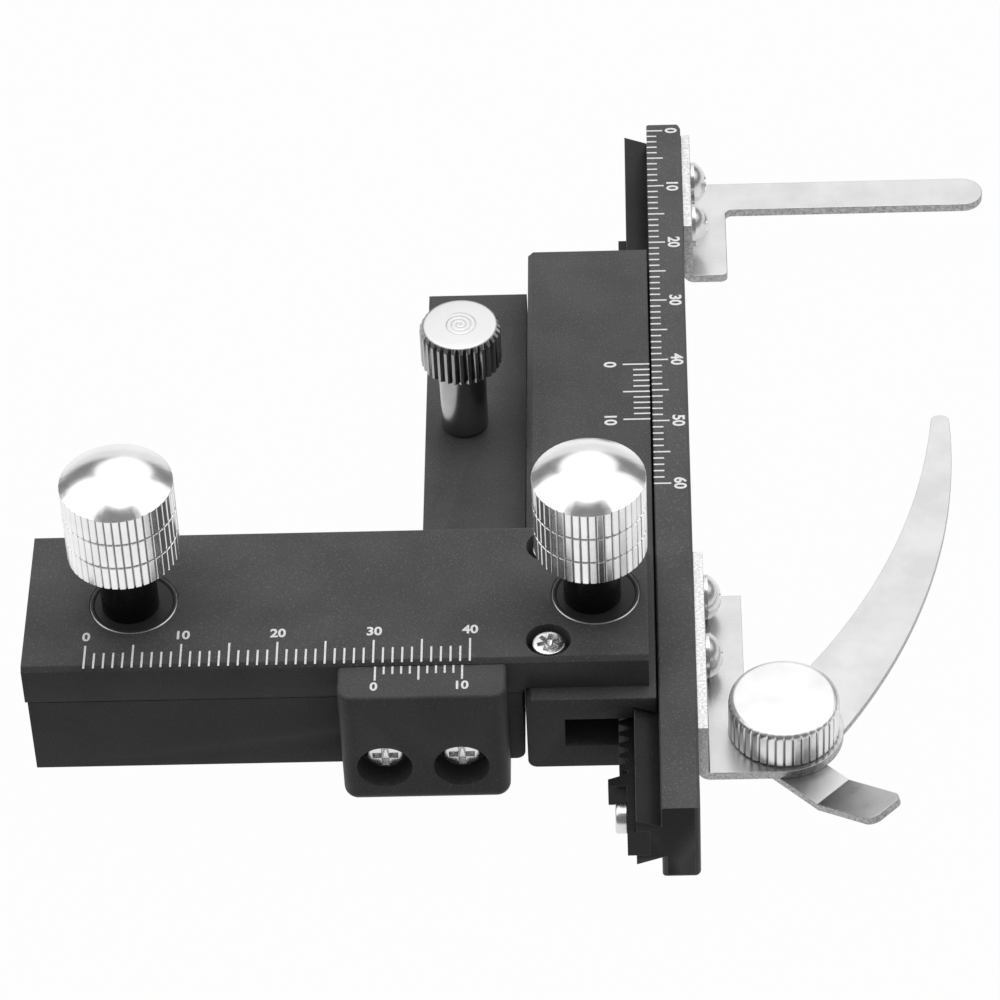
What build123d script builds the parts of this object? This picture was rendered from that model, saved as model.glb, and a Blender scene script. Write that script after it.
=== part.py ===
from build123d import *
from math import acos, cos, pi, radians, sin, sqrt, tan
import os

# Mechanical X-Y stage that is clamped on a microscope table. The base stays still. The beam and
# the column housing travel along X, the slide bar with its two brackets travels along Y, and the
# sprung horn holds the specimen slide against the finger.
# Origin: where the clamp screw's axis meets the table, under the base.
# +X runs along the 0 to 40 scale, +Y to the rear, +Z up. All sizes are in millimetres.

os.makedirs("parts", exist_ok=True)

# ---- Driving dimensions -------------------------------------------------------------------

# Clearances
slide_gap = 0.1            # between sliding faces of a dovetail
running_gap = 0.05         # radial, between a shaft and its bearing
screw_gap = 0.03           # radial, between a screw and its tapped hole
face_gap = 0.05            # between parallel faces that move past each other
blind_room = 0.2           # left beyond the end of a screw in a blind hole
pocket_gap = 0.17          # radial, around a pinion or a collar in its pocket

# Base: bar across the front, clamp plate behind it
base_length = 51.6
base_depth = 19.6
base_height = 9.8
base_right = 6.8           # right end, from the clamp screw's axis
base_front = -47.3         # front face, from the clamp screw's axis
plate_width = 11.2
plate_thickness = 4.6
plate_rear = 21.6
base_corner = 1.0          # rounded lower right edge

# Rack-and-pinion drives, the same for X and Y
tooth_module = 0.5
pinion_teeth = 11
pressure_angle = 20.0
rack_addendum = 0.28       # short rack teeth clear the root of so small a pinion
pinion_addendum = 0.5
root_clearance = 0.12
backlash = 0.04            # taken off each tooth's width at the pitch line
pinion_length = 3.5
drive_inset = 9.6          # both knob axes, from the front face of the beam
x_knob_inset = 11.2        # left bushing, from the left end of the beam
y_knob_inset = 6.1         # right bushing, from the right side of the housing
bushing_eccentricity = 0.35   # each shaft runs this far left of its bushing's centre

# X rack in the bar
x_channel_floor = 2.3
x_rack_backing = 2.0       # solid behind the roots of the teeth
x_channel_gap = 0.3        # from the pinion and the shaft to the front wall of the channel
x_channel_end = 4.6        # from the pinion's axis to the closed left end
x_rack_screw_radius = 0.8
x_rack_screw_inset = 5.0
x_rack_screw_length = 4.8  # from the underside of the base

# Beam and its tongue
beam_thickness = 4.85
beam_chamfer = 0.5
tongue_depth = 3.4
tongue_neck = 9.0
tongue_flare = 1.9         # how far each flank leans out over the tongue's depth
beam_overhang = 0.25       # left end of the beam, beyond the base's
beam_set_back = 0.7        # right end of the beam, from the right side of the housing

# Column housing
housing_gap = 0.3          # to the base's right end, at the closed end of the travel
housing_width = 13.55
housing_step = 0.65        # how far it rises into the beam's underside
housing_lift = 0.5         # above the table
housing_ledge = 1.8        # how far it stands out in front of the beam
housing_length = 71.1
housing_corner = 1.0
housing_edge = 0.6         # chamfer under the beam's inner corner

# Slide bar with its dovetail
bar_gap = 0.25             # from the housing's right side
bar_width = 3.95
bar_height = 10.5
bar_lift = 0.3
bar_length = 108.9
bar_rear = 44.0
bar_corner = 0.6           # lower right edge and right end edges
bar_left_corner = 0.25     # lower left edge
bar_edge = 0.35            # chamfer along the upper right edge
bar_scale_edge = 0.15      # and along the upper left edge, beside the scale
dovetail_height = 5.75     # centre line above the table
dovetail_depth = 2.6
dovetail_neck = 4.55
dovetail_tip = 6.5

# Y rack in the dovetail's tip
y_rack_height = 3.5
y_rack_centre = 5.6        # above the table
y_rack_land = 2.3          # thickness at its two plain ends
y_rack_bed = 1.4           # depth of its groove in the dovetail
y_rack_rear = 27.3
y_rack_front_land = 6.4    # length of the plain front end, up to the stop lug
y_rack_rear_land = 8.0
lug_room = 0.4             # least place for the lug before the tooth it grows from, in pitches
lug_height = 2.75
lug_reach = 1.9
y_channel_height = 3.9
y_window_inset = 4.0       # left edge of the front window, from the housing's left side
y_channel_gap = 0.3        # from the rack screws' heads to the channel's wall
rack_head_radius = 1.6
rack_head_height = 1.2
rack_head_edge = 0.5
rack_screw_radius = 0.7
rack_screw_length = 4.9
rack_screw_inset = 3.6

# Knob, shaft and bushing, the same for X and Y
knob_radius = 5.9
knob_height = 9.8
knob_dome = 1.9
knob_dome_bulge = 0.475    # of the dome's arc over its chord
x_knob_lift = 7.4          # above the beam
y_knob_lift = 6.8
knob_tiers = 3
knob_ring_depth = 0.3
knob_ring_width = 0.34
shaft_radius = 3.0
shaft_in_knob = 6.5
spindle_radius = 1.5
pivot_depth = 1.5
collar_step = 0.7          # beyond the shaft
collar_height = 1.0
collar_gap = 0.1           # under the collar
bushing_wall = 1.65        # beyond the shaft
bushing_height = 3.0
bushing_rim = 0.35
bushing_dish = 0.2         # depth of the dished top inside the rim

# Screws that hold the beam on the housing
beam_screw_inset = 10.33   # from the right end of the beam
beam_screw_front = 2.8     # from the front face
beam_screw_spacing = 14.0
beam_counterbore_radius = 2.35
beam_counterbore_depth = 2.6
beam_head_radius = 1.75
beam_head_height = 2.25
beam_screw_radius = 1.0
beam_screw_length = 6.2

# Vernier block on the front of the bar
vernier_width = 17.45
vernier_depth = 4.7
vernier_left = -12.2
vernier_drop = 0.5         # its top, below the beam's
vernier_bottom = -1.35
vernier_side_fillet = 1.5
vernier_foot_fillet = 1.4
vernier_edge_fillet = 0.4  # along the front of the top
vernier_screw_spacing = 8.0
vernier_screw_offset = -0.25  # of the pair's centre, from the block's centre
vernier_screw_height = 3.95
vernier_bore_radius = 2.9
vernier_bore_depth = 3.15
vernier_head_radius = 1.95
vernier_head_height = 1.4
vernier_screw_radius = 1.2
vernier_screw_length = 5.4

# Clamp thumb screw
clamp_thread_radius = 1.95
clamp_reach = 5.0          # threaded end below the base
clamp_thread_rise = 0.3    # thread that stays inside the plate's relief
clamp_neck_radius = 1.6    # between the thread and the shank, in the plate's hole
clamp_relief_radius = 3.0
clamp_relief_depth = 0.8
clamp_point = 0.5          # chamfer at the tip
clamp_shank_radius = 2.6
clamp_shank_length = 9.35
clamp_head_radius = 4.45
clamp_head_height = 5.3
clamp_head_bevel = 0.65

# Bent sheet brackets
sheet = 1.05
bend_radius = 0.25         # inside the bend, clear of the screw heads
corner_radius = 0.8        # corners of the blanks
bracket_reach = 5.1        # flange, from the bar's right side
finger_bracket_height = 8.6
finger_bracket_length = 16.4
finger_bracket_rear = 43.5
finger_bracket_lift = 0.95
finger_reach = 35.35       # finger's tip, from the bar's right side
finger_width = 4.75
clip_bracket_rear = -27.0
clip_bracket_length = 26.05
clip_bracket_lift = 2.25
clip_bracket_height = 7.75
clip_end_radius = 6.25
bracket_screw_gap = 0.15   # from the clip bracket's flange up to the screws' heads
finger_screw_ys = (39.1, 31.6)
clip_screw_ys = (-29.8, -38.5)
pan_radius = 2.45
pan_height = 1.9
pan_edge = 0.45            # straight part of the head's side
pan_screw_radius = 1.2
pan_screw_length = 3.9

# Specimen clip: horn, pivot, cap and spring. The horn's places are measured from the pivot.
pivot_reach = 9.05         # from the bar's right side
pivot_radius = 1.5
pivot_head_radius = 2.3
pivot_head_height = 0.55
pivot_in_cap = 3.8
horn_sheet = 0.8
horn_outer_radius = 82.05
horn_outer_centre = (-61.93, 46.1)
horn_inner_radius = 80.78
horn_inner_centre = (-62.17, 57.63)
horn_tip_y = 48.9
horn_root_y = 9.8
horn_root_angle = 20.0     # where the inner edge leaves the disc
horn_disc_radius = 4.85
tail_direction = 45.0      # to the front right
tail_fold = 9.4            # from the pivot to the fold line
tail_overlap = 0.2         # of the raised end into the flat one
tail_rise = 8.5            # length of the raised end
tail_angle = 23.0
tail_corner = 1.2
horn_tip_corner = 0.85
cap_radius = 5.8
cap_height = 4.5
cap_bevel = 0.5
cap_room_radius = 4.4
cap_room_height = 2.8
cap_boss_radius = 2.1
spring_radius = 3.2        # mean radius of the coil
spring_wire = 0.6
spring_height = 2.4

# ---- Places worked out from them ----------------------------------------------------------

base_left = base_right - base_length
base_rear = base_front + base_depth
drive_y = base_front + drive_inset
beam_left = base_left - beam_overhang

beam_bottom = base_height + slide_gap
beam_top = beam_bottom + beam_thickness
tongue_bottom = beam_bottom - tongue_depth

housing_left = base_right + housing_gap
housing_right = housing_left + housing_width
housing_front = base_front - housing_ledge
housing_rear = housing_front + housing_length
housing_top = beam_bottom + housing_step
beam_right = housing_right - beam_set_back

x_bushing_x = beam_left + x_knob_inset
y_bushing_x = housing_right - y_knob_inset
x_knob_x = x_bushing_x - bushing_eccentricity
y_knob_x = y_bushing_x - bushing_eccentricity

bar_left = housing_right + bar_gap
bar_right = bar_left + bar_width
bar_front = bar_rear - bar_length
dovetail_end = bar_left - dovetail_depth
dovetail_slope = (dovetail_tip - dovetail_neck) / 2 / dovetail_depth

pitch = pi * tooth_module
pitch_radius = tooth_module * pinion_teeth / 2
pinion_tip = pitch_radius + pinion_addendum
pinion_root = pitch_radius - rack_addendum - root_clearance
rack_root = pinion_addendum + root_clearance     # from the pitch line into the rack
rack_flank = tan(radians(pressure_angle))

y_rack_left = dovetail_end + y_rack_bed - y_rack_land
y_rack_back = dovetail_end + y_rack_bed
y_channel_left = y_rack_left - rack_head_height - y_channel_gap
y_pocket_radius = pinion_tip + pocket_gap
y_pinion_bottom = y_rack_centre - pinion_length / 2
lug_front = bar_front + y_rack_front_land
lug_tooth = drive_y - (int((drive_y - lug_front) / pitch - 0.5 - lug_room) + 0.5) * pitch

x_channel_top = tongue_bottom - slide_gap
x_pinion_bottom = (x_channel_floor + x_channel_top - pinion_length) / 2
x_channel_front = drive_y - max(pinion_tip, shaft_radius) - x_channel_gap
x_rack_back = drive_y + pitch_radius + rack_root + x_rack_backing
x_rack_left = x_knob_x - x_channel_end

collar_radius = shaft_radius + collar_step
bushing_radius = shaft_radius + bushing_wall
bushing_bottom = beam_top - bushing_height
collar_bottom = housing_top + collar_gap
pivot_x = bar_right + pivot_reach
pivot_y = clip_bracket_rear - clip_bracket_length + clip_end_radius
clip_flange_top = clip_bracket_lift + sheet
bracket_screw_height = clip_flange_top + bracket_screw_gap + pan_radius
horn_top = clip_bracket_lift - face_gap
horn_bottom = horn_top - horn_sheet
cap_bottom = clip_flange_top + face_gap
head_seat = beam_top - beam_counterbore_depth
beam_screw_x = beam_right - beam_screw_inset
beam_screw_ys = (base_front + beam_screw_front, base_front + beam_screw_front + beam_screw_spacing)
vernier_top = beam_top - vernier_drop
vernier_front = base_front - vernier_depth
vernier_centre = vernier_left + vernier_width / 2
vernier_screw_x = vernier_centre + vernier_screw_offset


# Planes that holes are drilled from: up from below, and to the right from the left
def facing_down(height):
    return Plane(origin=(0, 0, height), x_dir=(1, 0, 0), z_dir=(0, 0, -1))


def facing_left(distance):
    return Plane(origin=(distance, 0, 0), x_dir=(0, 1, 0), z_dir=(-1, 0, 0))


# ---- Shared outlines ----------------------------------------------------------------------

def involute(angle):
    return tan(angle) - angle


def polar(radius, angle):
    return (radius * cos(angle), radius * sin(angle))


def pinion_outline():
    """Closed outline of the pinion, with a tooth centred on the +X axis."""
    base_circle = pitch_radius * cos(radians(pressure_angle))
    half_pitch_angle = (pitch / 2 - backlash) / 2 / pitch_radius
    half_base_angle = half_pitch_angle + involute(radians(pressure_angle))
    flank_steps = 3
    corners = []
    for tooth in range(pinion_teeth):
        centre = 2 * pi * tooth / pinion_teeth
        flank = [(pinion_root, half_base_angle)]
        for step in range(flank_steps + 1):
            radius = base_circle + (pinion_tip - base_circle) * step / flank_steps
            flank.append((radius, half_base_angle - involute(acos(base_circle / radius))))
        corners += [polar(radius, centre - angle) for radius, angle in flank]
        corners += [polar(radius, centre + angle) for radius, angle in reversed(flank)]
    return corners


def rack_teeth(first, last, phase):
    """Points of the toothed edge, along the rack and out from its root line, from first to last.

    The gap between two teeth is centred on phase."""
    half_width = (pitch / 2 - backlash) / 2
    half_tip = half_width - rack_addendum * rack_flank
    half_root = half_width + rack_root * rack_flank
    height = rack_addendum + rack_root
    count_before = int((phase - first - half_root) / pitch + 0.5)
    count_after = int((last - phase - half_root) / pitch - 0.5)
    points = []
    for tooth in range(-count_before, count_after + 1):
        centre = phase + (tooth + 0.5) * pitch
        points.append((centre - half_root, 0))
        points.append((centre - half_tip, height))
        points.append((centre + half_tip, height))
        points.append((centre + half_root, 0))
    return points


def save(part, name):
    part.label = name
    export_step(part, f"parts/{name}.step")


# ---- Base ---------------------------------------------------------------------------------

with BuildPart() as base:
    with BuildSketch():
        with Locations((base_left, base_front)):
            Rectangle(base_length, base_depth, align=(Align.MIN, Align.MIN))
    extrude(amount=base_height)
    with BuildSketch():
        with Locations((base_right - plate_width, base_rear)):
            Rectangle(plate_width, plate_rear - base_rear, align=(Align.MIN, Align.MIN))
    extrude(amount=plate_thickness)
    fillet(base.edges().filter_by(Axis.Y).group_by(Axis.Z)[0].sort_by(Axis.X)[-1], base_corner)
    # Dovetail groove for the beam's tongue, open at both ends
    with BuildSketch(Plane.YZ.offset(base_left)):
        groove_top = tongue_neck / 2 + slide_gap
        groove_slope = tongue_flare / tongue_depth
        groove_floor = groove_top + (beam_bottom - x_channel_top) * groove_slope
        with BuildLine():
            Polyline(
                (drive_y - groove_floor, x_channel_top),
                (drive_y + groove_floor, x_channel_top),
                (drive_y + groove_top, beam_bottom),
                (drive_y - groove_top, beam_bottom),
                close=True,
            )
        make_face()
    extrude(amount=base_length, mode=Mode.SUBTRACT)
    # Channel for the rack and the pinion, closed at the left
    with BuildSketch(Plane.XY.offset(x_channel_floor)):
        with Locations((x_rack_left, x_channel_front)):
            Rectangle(
                base_right - x_rack_left,
                x_rack_back - x_channel_front,
                align=(Align.MIN, Align.MIN),
            )
    extrude(amount=x_channel_top - x_channel_floor, mode=Mode.SUBTRACT)
    # Hole of the captive clamp screw, with a relief around its thread
    with Locations(facing_down(0)):
        CounterBoreHole(clamp_neck_radius + running_gap, clamp_relief_radius, clamp_relief_depth)
    # Countersunk holes under the X rack
    with Locations(facing_down(0)):
        with Locations(
            (x_rack_left + x_rack_screw_inset, -(x_rack_back - x_rack_backing / 2)),
            (base_right - x_rack_screw_inset, -(x_rack_back - x_rack_backing / 2)),
        ):
            CounterSinkHole(
                x_rack_screw_radius + screw_gap,
                2 * x_rack_screw_radius + screw_gap,
                depth=x_channel_floor,
            )
    # Tapped holes of the vernier block's screws
    with Locations(Plane.XZ.offset(-base_front)):
        with Locations((vernier_screw_x, vernier_screw_height)):
            with GridLocations(vernier_screw_spacing, 0, 2, 1):
                Hole(
                    vernier_screw_radius + screw_gap,
                    depth=vernier_screw_length - (vernier_depth - vernier_bore_depth) + blind_room,
                )

save(base.part, "base")

# ---- Vernier block and its screws ---------------------------------------------------------

with BuildPart() as vernier_block:
    with BuildSketch(Plane.XZ.offset(-base_front)):
        with Locations((vernier_left, vernier_bottom)):
            Rectangle(vernier_width, vernier_top - vernier_bottom, align=(Align.MIN, Align.MIN))
    extrude(amount=vernier_depth)
    fillet(vernier_block.edges().filter_by(Axis.Z).group_by(Axis.Y)[0], vernier_side_fillet)
    fillet(vernier_block.edges().filter_by(Axis.Y).group_by(Axis.Z)[0], vernier_foot_fillet)
    top_front = vernier_block.edges().group_by(Axis.Z)[-1].filter_by_position(
        Axis.Y, vernier_front, base_front - slide_gap
    )
    fillet(top_front, vernier_edge_fillet)
    # Relief behind the upper half, so that the beam slides past
    with BuildSketch(Plane.XZ.offset(-base_front)):
        with Locations((vernier_centre, base_height - slide_gap)):
            Rectangle(
                2 * vernier_width,
                vernier_top,
                align=(Align.CENTER, Align.MIN),
            )
    extrude(amount=slide_gap, mode=Mode.SUBTRACT)
    with Locations(Plane.XZ.offset(-vernier_front)):
        with Locations((vernier_screw_x, vernier_screw_height)):
            with GridLocations(vernier_screw_spacing, 0, 2, 1):
                CounterBoreHole(
                    vernier_screw_radius + screw_gap,
                    vernier_bore_radius,
                    vernier_bore_depth,
                )

save(vernier_block.part, "vernier_block")

with BuildPart() as vernier_block_screws:
    with BuildSketch(Plane.XZ.offset(-(vernier_front + vernier_bore_depth))):
        with Locations((vernier_screw_x, vernier_screw_height)):
            with GridLocations(vernier_screw_spacing, 0, 2, 1):
                Circle(vernier_head_radius)
    extrude(amount=vernier_head_height)
    with BuildSketch(Plane.XZ.offset(-(vernier_front + vernier_bore_depth))):
        with Locations((vernier_screw_x, vernier_screw_height)):
            with GridLocations(vernier_screw_spacing, 0, 2, 1):
                Circle(vernier_screw_radius)
    extrude(amount=-vernier_screw_length)

save(vernier_block_screws.part, "vernier_block_screws")

# ---- X rack and its screws ----------------------------------------------------------------

with BuildPart() as x_rack:
    with BuildSketch(Plane.XY.offset(x_channel_floor)):
        root_y = drive_y + pitch_radius + rack_root
        x_edge = [
            (x, root_y - out)
            for x, out in rack_teeth(x_rack_left, base_right, x_knob_x)
        ]
        with BuildLine():
            Polyline(
                (x_rack_left, x_rack_back),
                (x_rack_left, root_y),
                *x_edge,
                (base_right, root_y),
                (base_right, x_rack_back),
                close=True,
            )
        make_face()
    extrude(amount=pinion_length)
    with Locations(facing_down(x_channel_floor)):
        with Locations(
            (x_rack_left + x_rack_screw_inset, -(x_rack_back - x_rack_backing / 2)),
            (base_right - x_rack_screw_inset, -(x_rack_back - x_rack_backing / 2)),
        ):
            Hole(
                x_rack_screw_radius + screw_gap,
                depth=x_rack_screw_length - x_channel_floor + blind_room,
            )

save(x_rack.part, "x_rack")

with BuildPart() as x_rack_screws:
    with BuildSketch(Plane.XZ):
        with BuildLine():
            Polyline(
                (0, 0),
                (2 * x_rack_screw_radius, 0),
                (x_rack_screw_radius, x_rack_screw_radius),
                (x_rack_screw_radius, x_rack_screw_length),
                (0, x_rack_screw_length),
                close=True,
            )
        make_face()
    screw_turned = revolve(axis=Axis.Z, mode=Mode.PRIVATE)
    with Locations(
        (x_rack_left + x_rack_screw_inset, x_rack_back - x_rack_backing / 2),
        (base_right - x_rack_screw_inset, x_rack_back - x_rack_backing / 2),
    ):
        add(screw_turned)

save(x_rack_screws.part, "x_rack_screws")

# ---- Arm beam -----------------------------------------------------------------------------

with BuildPart() as arm_beam:
    with BuildSketch(Plane.XY.offset(beam_bottom)):
        with Locations((beam_left, base_front)):
            Rectangle(beam_right - beam_left, base_depth, align=(Align.MIN, Align.MIN))
    extrude(amount=beam_thickness)
    # Step over the housing, with a rounded inner corner
    with BuildSketch(Plane.XZ.offset(-base_rear)):
        with Locations((base_right, beam_bottom)):
            Rectangle(
                beam_right - base_right,
                housing_top - beam_bottom,
                align=(Align.MIN, Align.MIN),
            )
    extrude(amount=base_depth, mode=Mode.SUBTRACT)
    inner = arm_beam.edges().filter_by(Axis.Y).filter_by_position(
        Axis.Z, housing_top - 0.01, housing_top + 0.01
    )
    fillet(inner.sort_by(Axis.X)[0], housing_edge)
    # Dovetail tongue that runs in the base
    with BuildSketch(Plane.YZ.offset(base_left)):
        with BuildLine():
            Polyline(
                (drive_y - tongue_neck / 2, beam_bottom),
                (drive_y + tongue_neck / 2, beam_bottom),
                (drive_y + tongue_neck / 2 + tongue_flare, tongue_bottom),
                (drive_y - tongue_neck / 2 - tongue_flare, tongue_bottom),
                close=True,
            )
        make_face()
    extrude(amount=base_length)
    chamfer(
        arm_beam.edges().filter_by(Axis.X).group_by(Axis.Z)[-1].sort_by(Axis.Y)[0],
        beam_chamfer,
    )
    # Bores of the two drives: the bushing, then the collar around the offset shaft
    with Locations((x_bushing_x, drive_y, beam_top), (y_bushing_x, drive_y, beam_top)):
        Hole(bushing_radius + screw_gap, depth=bushing_height)
    with Locations((x_knob_x, drive_y, bushing_bottom), (y_knob_x, drive_y, bushing_bottom)):
        Hole(collar_radius + pocket_gap, depth=bushing_bottom - housing_top)
    with Locations((x_knob_x, drive_y, beam_top)):
        Hole(shaft_radius + running_gap)
    with Locations(*[(beam_screw_x, y, beam_top) for y in beam_screw_ys]):
        CounterBoreHole(
            beam_screw_radius + screw_gap,
            beam_counterbore_radius,
            beam_counterbore_depth,
        )

save(arm_beam.part, "arm_beam")

# ---- Column housing -----------------------------------------------------------------------

with BuildPart() as column_housing:
    with BuildSketch(Plane.XZ.offset(-housing_rear)):
        with Locations((housing_left, housing_lift)):
            Rectangle(housing_width, housing_top - housing_lift, align=(Align.MIN, Align.MIN))
    extrude(amount=housing_length)
    fillet(
        column_housing.edges().filter_by(Axis.Y).group_by(Axis.Z)[0].sort_by(Axis.X)[0],
        housing_corner,
    )
    chamfer(
        column_housing.edges().filter_by(Axis.Y).group_by(Axis.Z)[-1].sort_by(Axis.X)[0],
        housing_edge,
    )
    # Dovetail groove with the rack channel at its bottom, through the whole length
    with BuildSketch(Plane.XZ.offset(-housing_rear)):
        groove_mouth = dovetail_neck / 2 + slide_gap
        groove_bottom = dovetail_tip / 2 + slide_gap + slide_gap * dovetail_slope
        with BuildLine():
            Polyline(
                (bar_left, dovetail_height - groove_mouth),
                (bar_left, dovetail_height + groove_mouth),
                (dovetail_end - slide_gap, dovetail_height + groove_bottom),
                (dovetail_end - slide_gap, dovetail_height - groove_bottom),
                close=True,
            )
        make_face()
        with Locations((y_channel_left, y_rack_centre)):
            Rectangle(
                dovetail_end - y_channel_left,
                y_channel_height,
                align=(Align.MIN, Align.CENTER),
            )
    extrude(amount=housing_length, mode=Mode.SUBTRACT)
    # Round pinion pocket beside the channel, and the window that shows it from the front
    with BuildSketch(Plane.XY.offset(y_rack_centre - y_channel_height / 2)):
        with Locations((housing_left + y_window_inset, housing_front)):
            Rectangle(
                y_channel_left - housing_left - y_window_inset + slide_gap,
                drive_y - housing_front,
                align=(Align.MIN, Align.MIN),
            )
        with Locations((y_knob_x, drive_y)):
            Circle(y_pocket_radius)
    extrude(amount=y_channel_height, mode=Mode.SUBTRACT)
    # Upper bearing and lower pivot of the Y shaft
    with Locations((y_knob_x, drive_y, housing_top)):
        Hole(shaft_radius + running_gap, depth=housing_top - y_rack_centre)
    with Locations((y_knob_x, drive_y, y_rack_centre)):
        Hole(
            spindle_radius + running_gap,
            depth=y_channel_height / 2 + pivot_depth + face_gap,
        )
    # Tapped holes for the beam screws
    with Locations(*[(beam_screw_x, y, housing_top) for y in beam_screw_ys]):
        Hole(
            beam_screw_radius + screw_gap,
            depth=beam_screw_length - (head_seat - housing_top) + blind_room,
        )

save(column_housing.part, "column_housing")

with BuildPart() as beam_screws:
    with BuildSketch(Plane.XY.offset(head_seat)):
        with Locations(*[(beam_screw_x, y) for y in beam_screw_ys]):
            Circle(beam_head_radius)
    extrude(amount=beam_head_height)
    with BuildSketch(Plane.XY.offset(head_seat)):
        with Locations(*[(beam_screw_x, y) for y in beam_screw_ys]):
            Circle(beam_screw_radius)
    extrude(amount=-beam_screw_length)

save(beam_screws.part, "beam_screws")

# ---- The two drives: bushing, shaft, pinion and knob --------------------------------------

spindle_foot = y_rack_centre - y_channel_height / 2 - pivot_depth
# Name, axis, knob's lift, pinion's underside, spindle's lower end, and the pinion's turn that
# points a tooth at its rack: the X rack lies behind its pinion, the Y rack to the right
drives = (
    ("x", x_knob_x, x_knob_lift, x_pinion_bottom, x_pinion_bottom, 90.0),
    ("y", y_knob_x, y_knob_lift, y_pinion_bottom, spindle_foot, 0.0),
)
tier_height = knob_height / knob_tiers

for drive_name, drive_x, knob_lift, pinion_bottom, spindle_end, pinion_turn in drives:
    pinion_top = pinion_bottom + pinion_length
    knob_bottom = beam_top + knob_lift
    dome_base = knob_bottom + knob_height
    shaft_top = knob_bottom + shaft_in_knob

    with BuildPart() as bushing:
        dish_radius = bushing_radius - bushing_rim
        with BuildSketch(Plane.XZ):
            with BuildLine():
                Polyline(
                    (0, bushing_bottom),
                    (bushing_radius, bushing_bottom),
                    (bushing_radius, beam_top),
                    (dish_radius, beam_top),
                    (dish_radius - bushing_dish, beam_top - bushing_dish),
                    (0, beam_top - bushing_dish),
                    close=True,
                )
            make_face()
        revolve(axis=Axis.Z)
        with Locations((-bushing_eccentricity, 0, beam_top)):
            Hole(shaft_radius + running_gap)
    bushing_place = Location((drive_x + bushing_eccentricity, drive_y, 0))
    save(bushing.part.moved(bushing_place), f"{drive_name}_bushing")

    with BuildPart() as shaft:
        with BuildSketch(Plane.XZ):
            with BuildLine():
                Polyline(
                    (0, spindle_end),
                    (spindle_radius, spindle_end),
                    (spindle_radius, pinion_top),
                    (shaft_radius, pinion_top),
                    (shaft_radius, collar_bottom),
                    (collar_radius, collar_bottom),
                    (collar_radius, collar_bottom + collar_height),
                    (shaft_radius, collar_bottom + collar_height),
                    (shaft_radius, shaft_top),
                    (0, shaft_top),
                    close=True,
                )
            make_face()
        revolve(axis=Axis.Z)
    save(shaft.part.moved(Location((drive_x, drive_y, 0))), f"{drive_name}_shaft")

    with BuildPart() as pinion:
        with BuildSketch(Plane.XY.offset(pinion_bottom)):
            with BuildLine():
                Polyline(*pinion_outline(), close=True)
            make_face()
            Circle(spindle_radius + screw_gap, mode=Mode.SUBTRACT)
        extrude(amount=pinion_length)
    pinion_place = Location((drive_x, drive_y, 0), (0, 0, pinion_turn))
    save(pinion.part.moved(pinion_place), f"{drive_name}_pinion")

    with BuildPart() as knob:
        with BuildSketch(Plane.XY.offset(knob_bottom)):
            Circle(knob_radius)
        extrude(amount=knob_height)
        # Shallow dome
        with BuildSketch(Plane.XZ):
            with BuildLine():
                Line((0, dome_base), (knob_radius, dome_base))
                SagittaArc(
                    (knob_radius, dome_base),
                    (0, dome_base + knob_dome),
                    -knob_dome_bulge,
                )
                Line((0, dome_base + knob_dome), (0, dome_base))
            make_face()
        revolve(axis=Axis.Z)
        # Rings between the tiers
        with BuildSketch(Plane.XZ):
            for tier in range(1, knob_tiers):
                with Locations((knob_radius, knob_bottom + tier * tier_height)):
                    Rectangle(2 * knob_ring_depth, knob_ring_width)
        revolve(axis=Axis.Z, mode=Mode.SUBTRACT)
        with Locations(facing_down(knob_bottom)):
            Hole(shaft_radius + screw_gap, depth=shaft_in_knob)
    save(knob.part.moved(Location((drive_x, drive_y, 0))), f"{drive_name}_knob")

# ---- Slide bar ----------------------------------------------------------------------------

with BuildPart() as slide_bar:
    with BuildSketch(Plane.XZ.offset(-bar_rear)):
        with Locations((bar_left, bar_lift)):
            Rectangle(bar_width, bar_height, align=(Align.MIN, Align.MIN))
        with BuildLine():
            Polyline(
                (bar_left, dovetail_height - dovetail_neck / 2),
                (bar_left, dovetail_height + dovetail_neck / 2),
                (dovetail_end, dovetail_height + dovetail_tip / 2),
                (dovetail_end, dovetail_height - dovetail_tip / 2),
                close=True,
            )
        make_face()
        with Locations((dovetail_end, y_rack_centre)):
            Rectangle(
                y_rack_bed,
                y_rack_height,
                align=(Align.MIN, Align.CENTER),
                mode=Mode.SUBTRACT,
            )
    extrude(amount=bar_length)
    top_edges = slide_bar.edges().filter_by(Axis.Y).group_by(Axis.Z)[-1].sort_by(Axis.X)
    chamfer(top_edges[0], bar_scale_edge)
    chamfer(top_edges[-1], bar_edge)
    low_edges = slide_bar.edges().filter_by(Axis.Y).group_by(Axis.Z)[0].sort_by(Axis.X)
    fillet(low_edges[0], bar_left_corner)
    fillet(low_edges[-1], bar_corner)
    fillet(slide_bar.edges().filter_by(Axis.Z).group_by(Axis.X)[-1], bar_corner)
    # Tapped holes for the bracket screws in the right side, and for the rack screws
    with Locations(Plane.YZ.offset(bar_right)):
        with Locations(*[(y, bracket_screw_height) for y in finger_screw_ys + clip_screw_ys]):
            Hole(pan_screw_radius + screw_gap, depth=pan_screw_length - sheet + blind_room / 2)
    with Locations(facing_left(y_rack_back)):
        with Locations(
            (bar_front + rack_screw_inset, -y_rack_centre),
            (y_rack_rear - rack_screw_inset, -y_rack_centre),
        ):
            Hole(rack_screw_radius + screw_gap, depth=rack_screw_length - y_rack_land + blind_room)

save(slide_bar.part, "slide_bar")

# ---- Y rack and its screws ----------------------------------------------------------------

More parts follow.
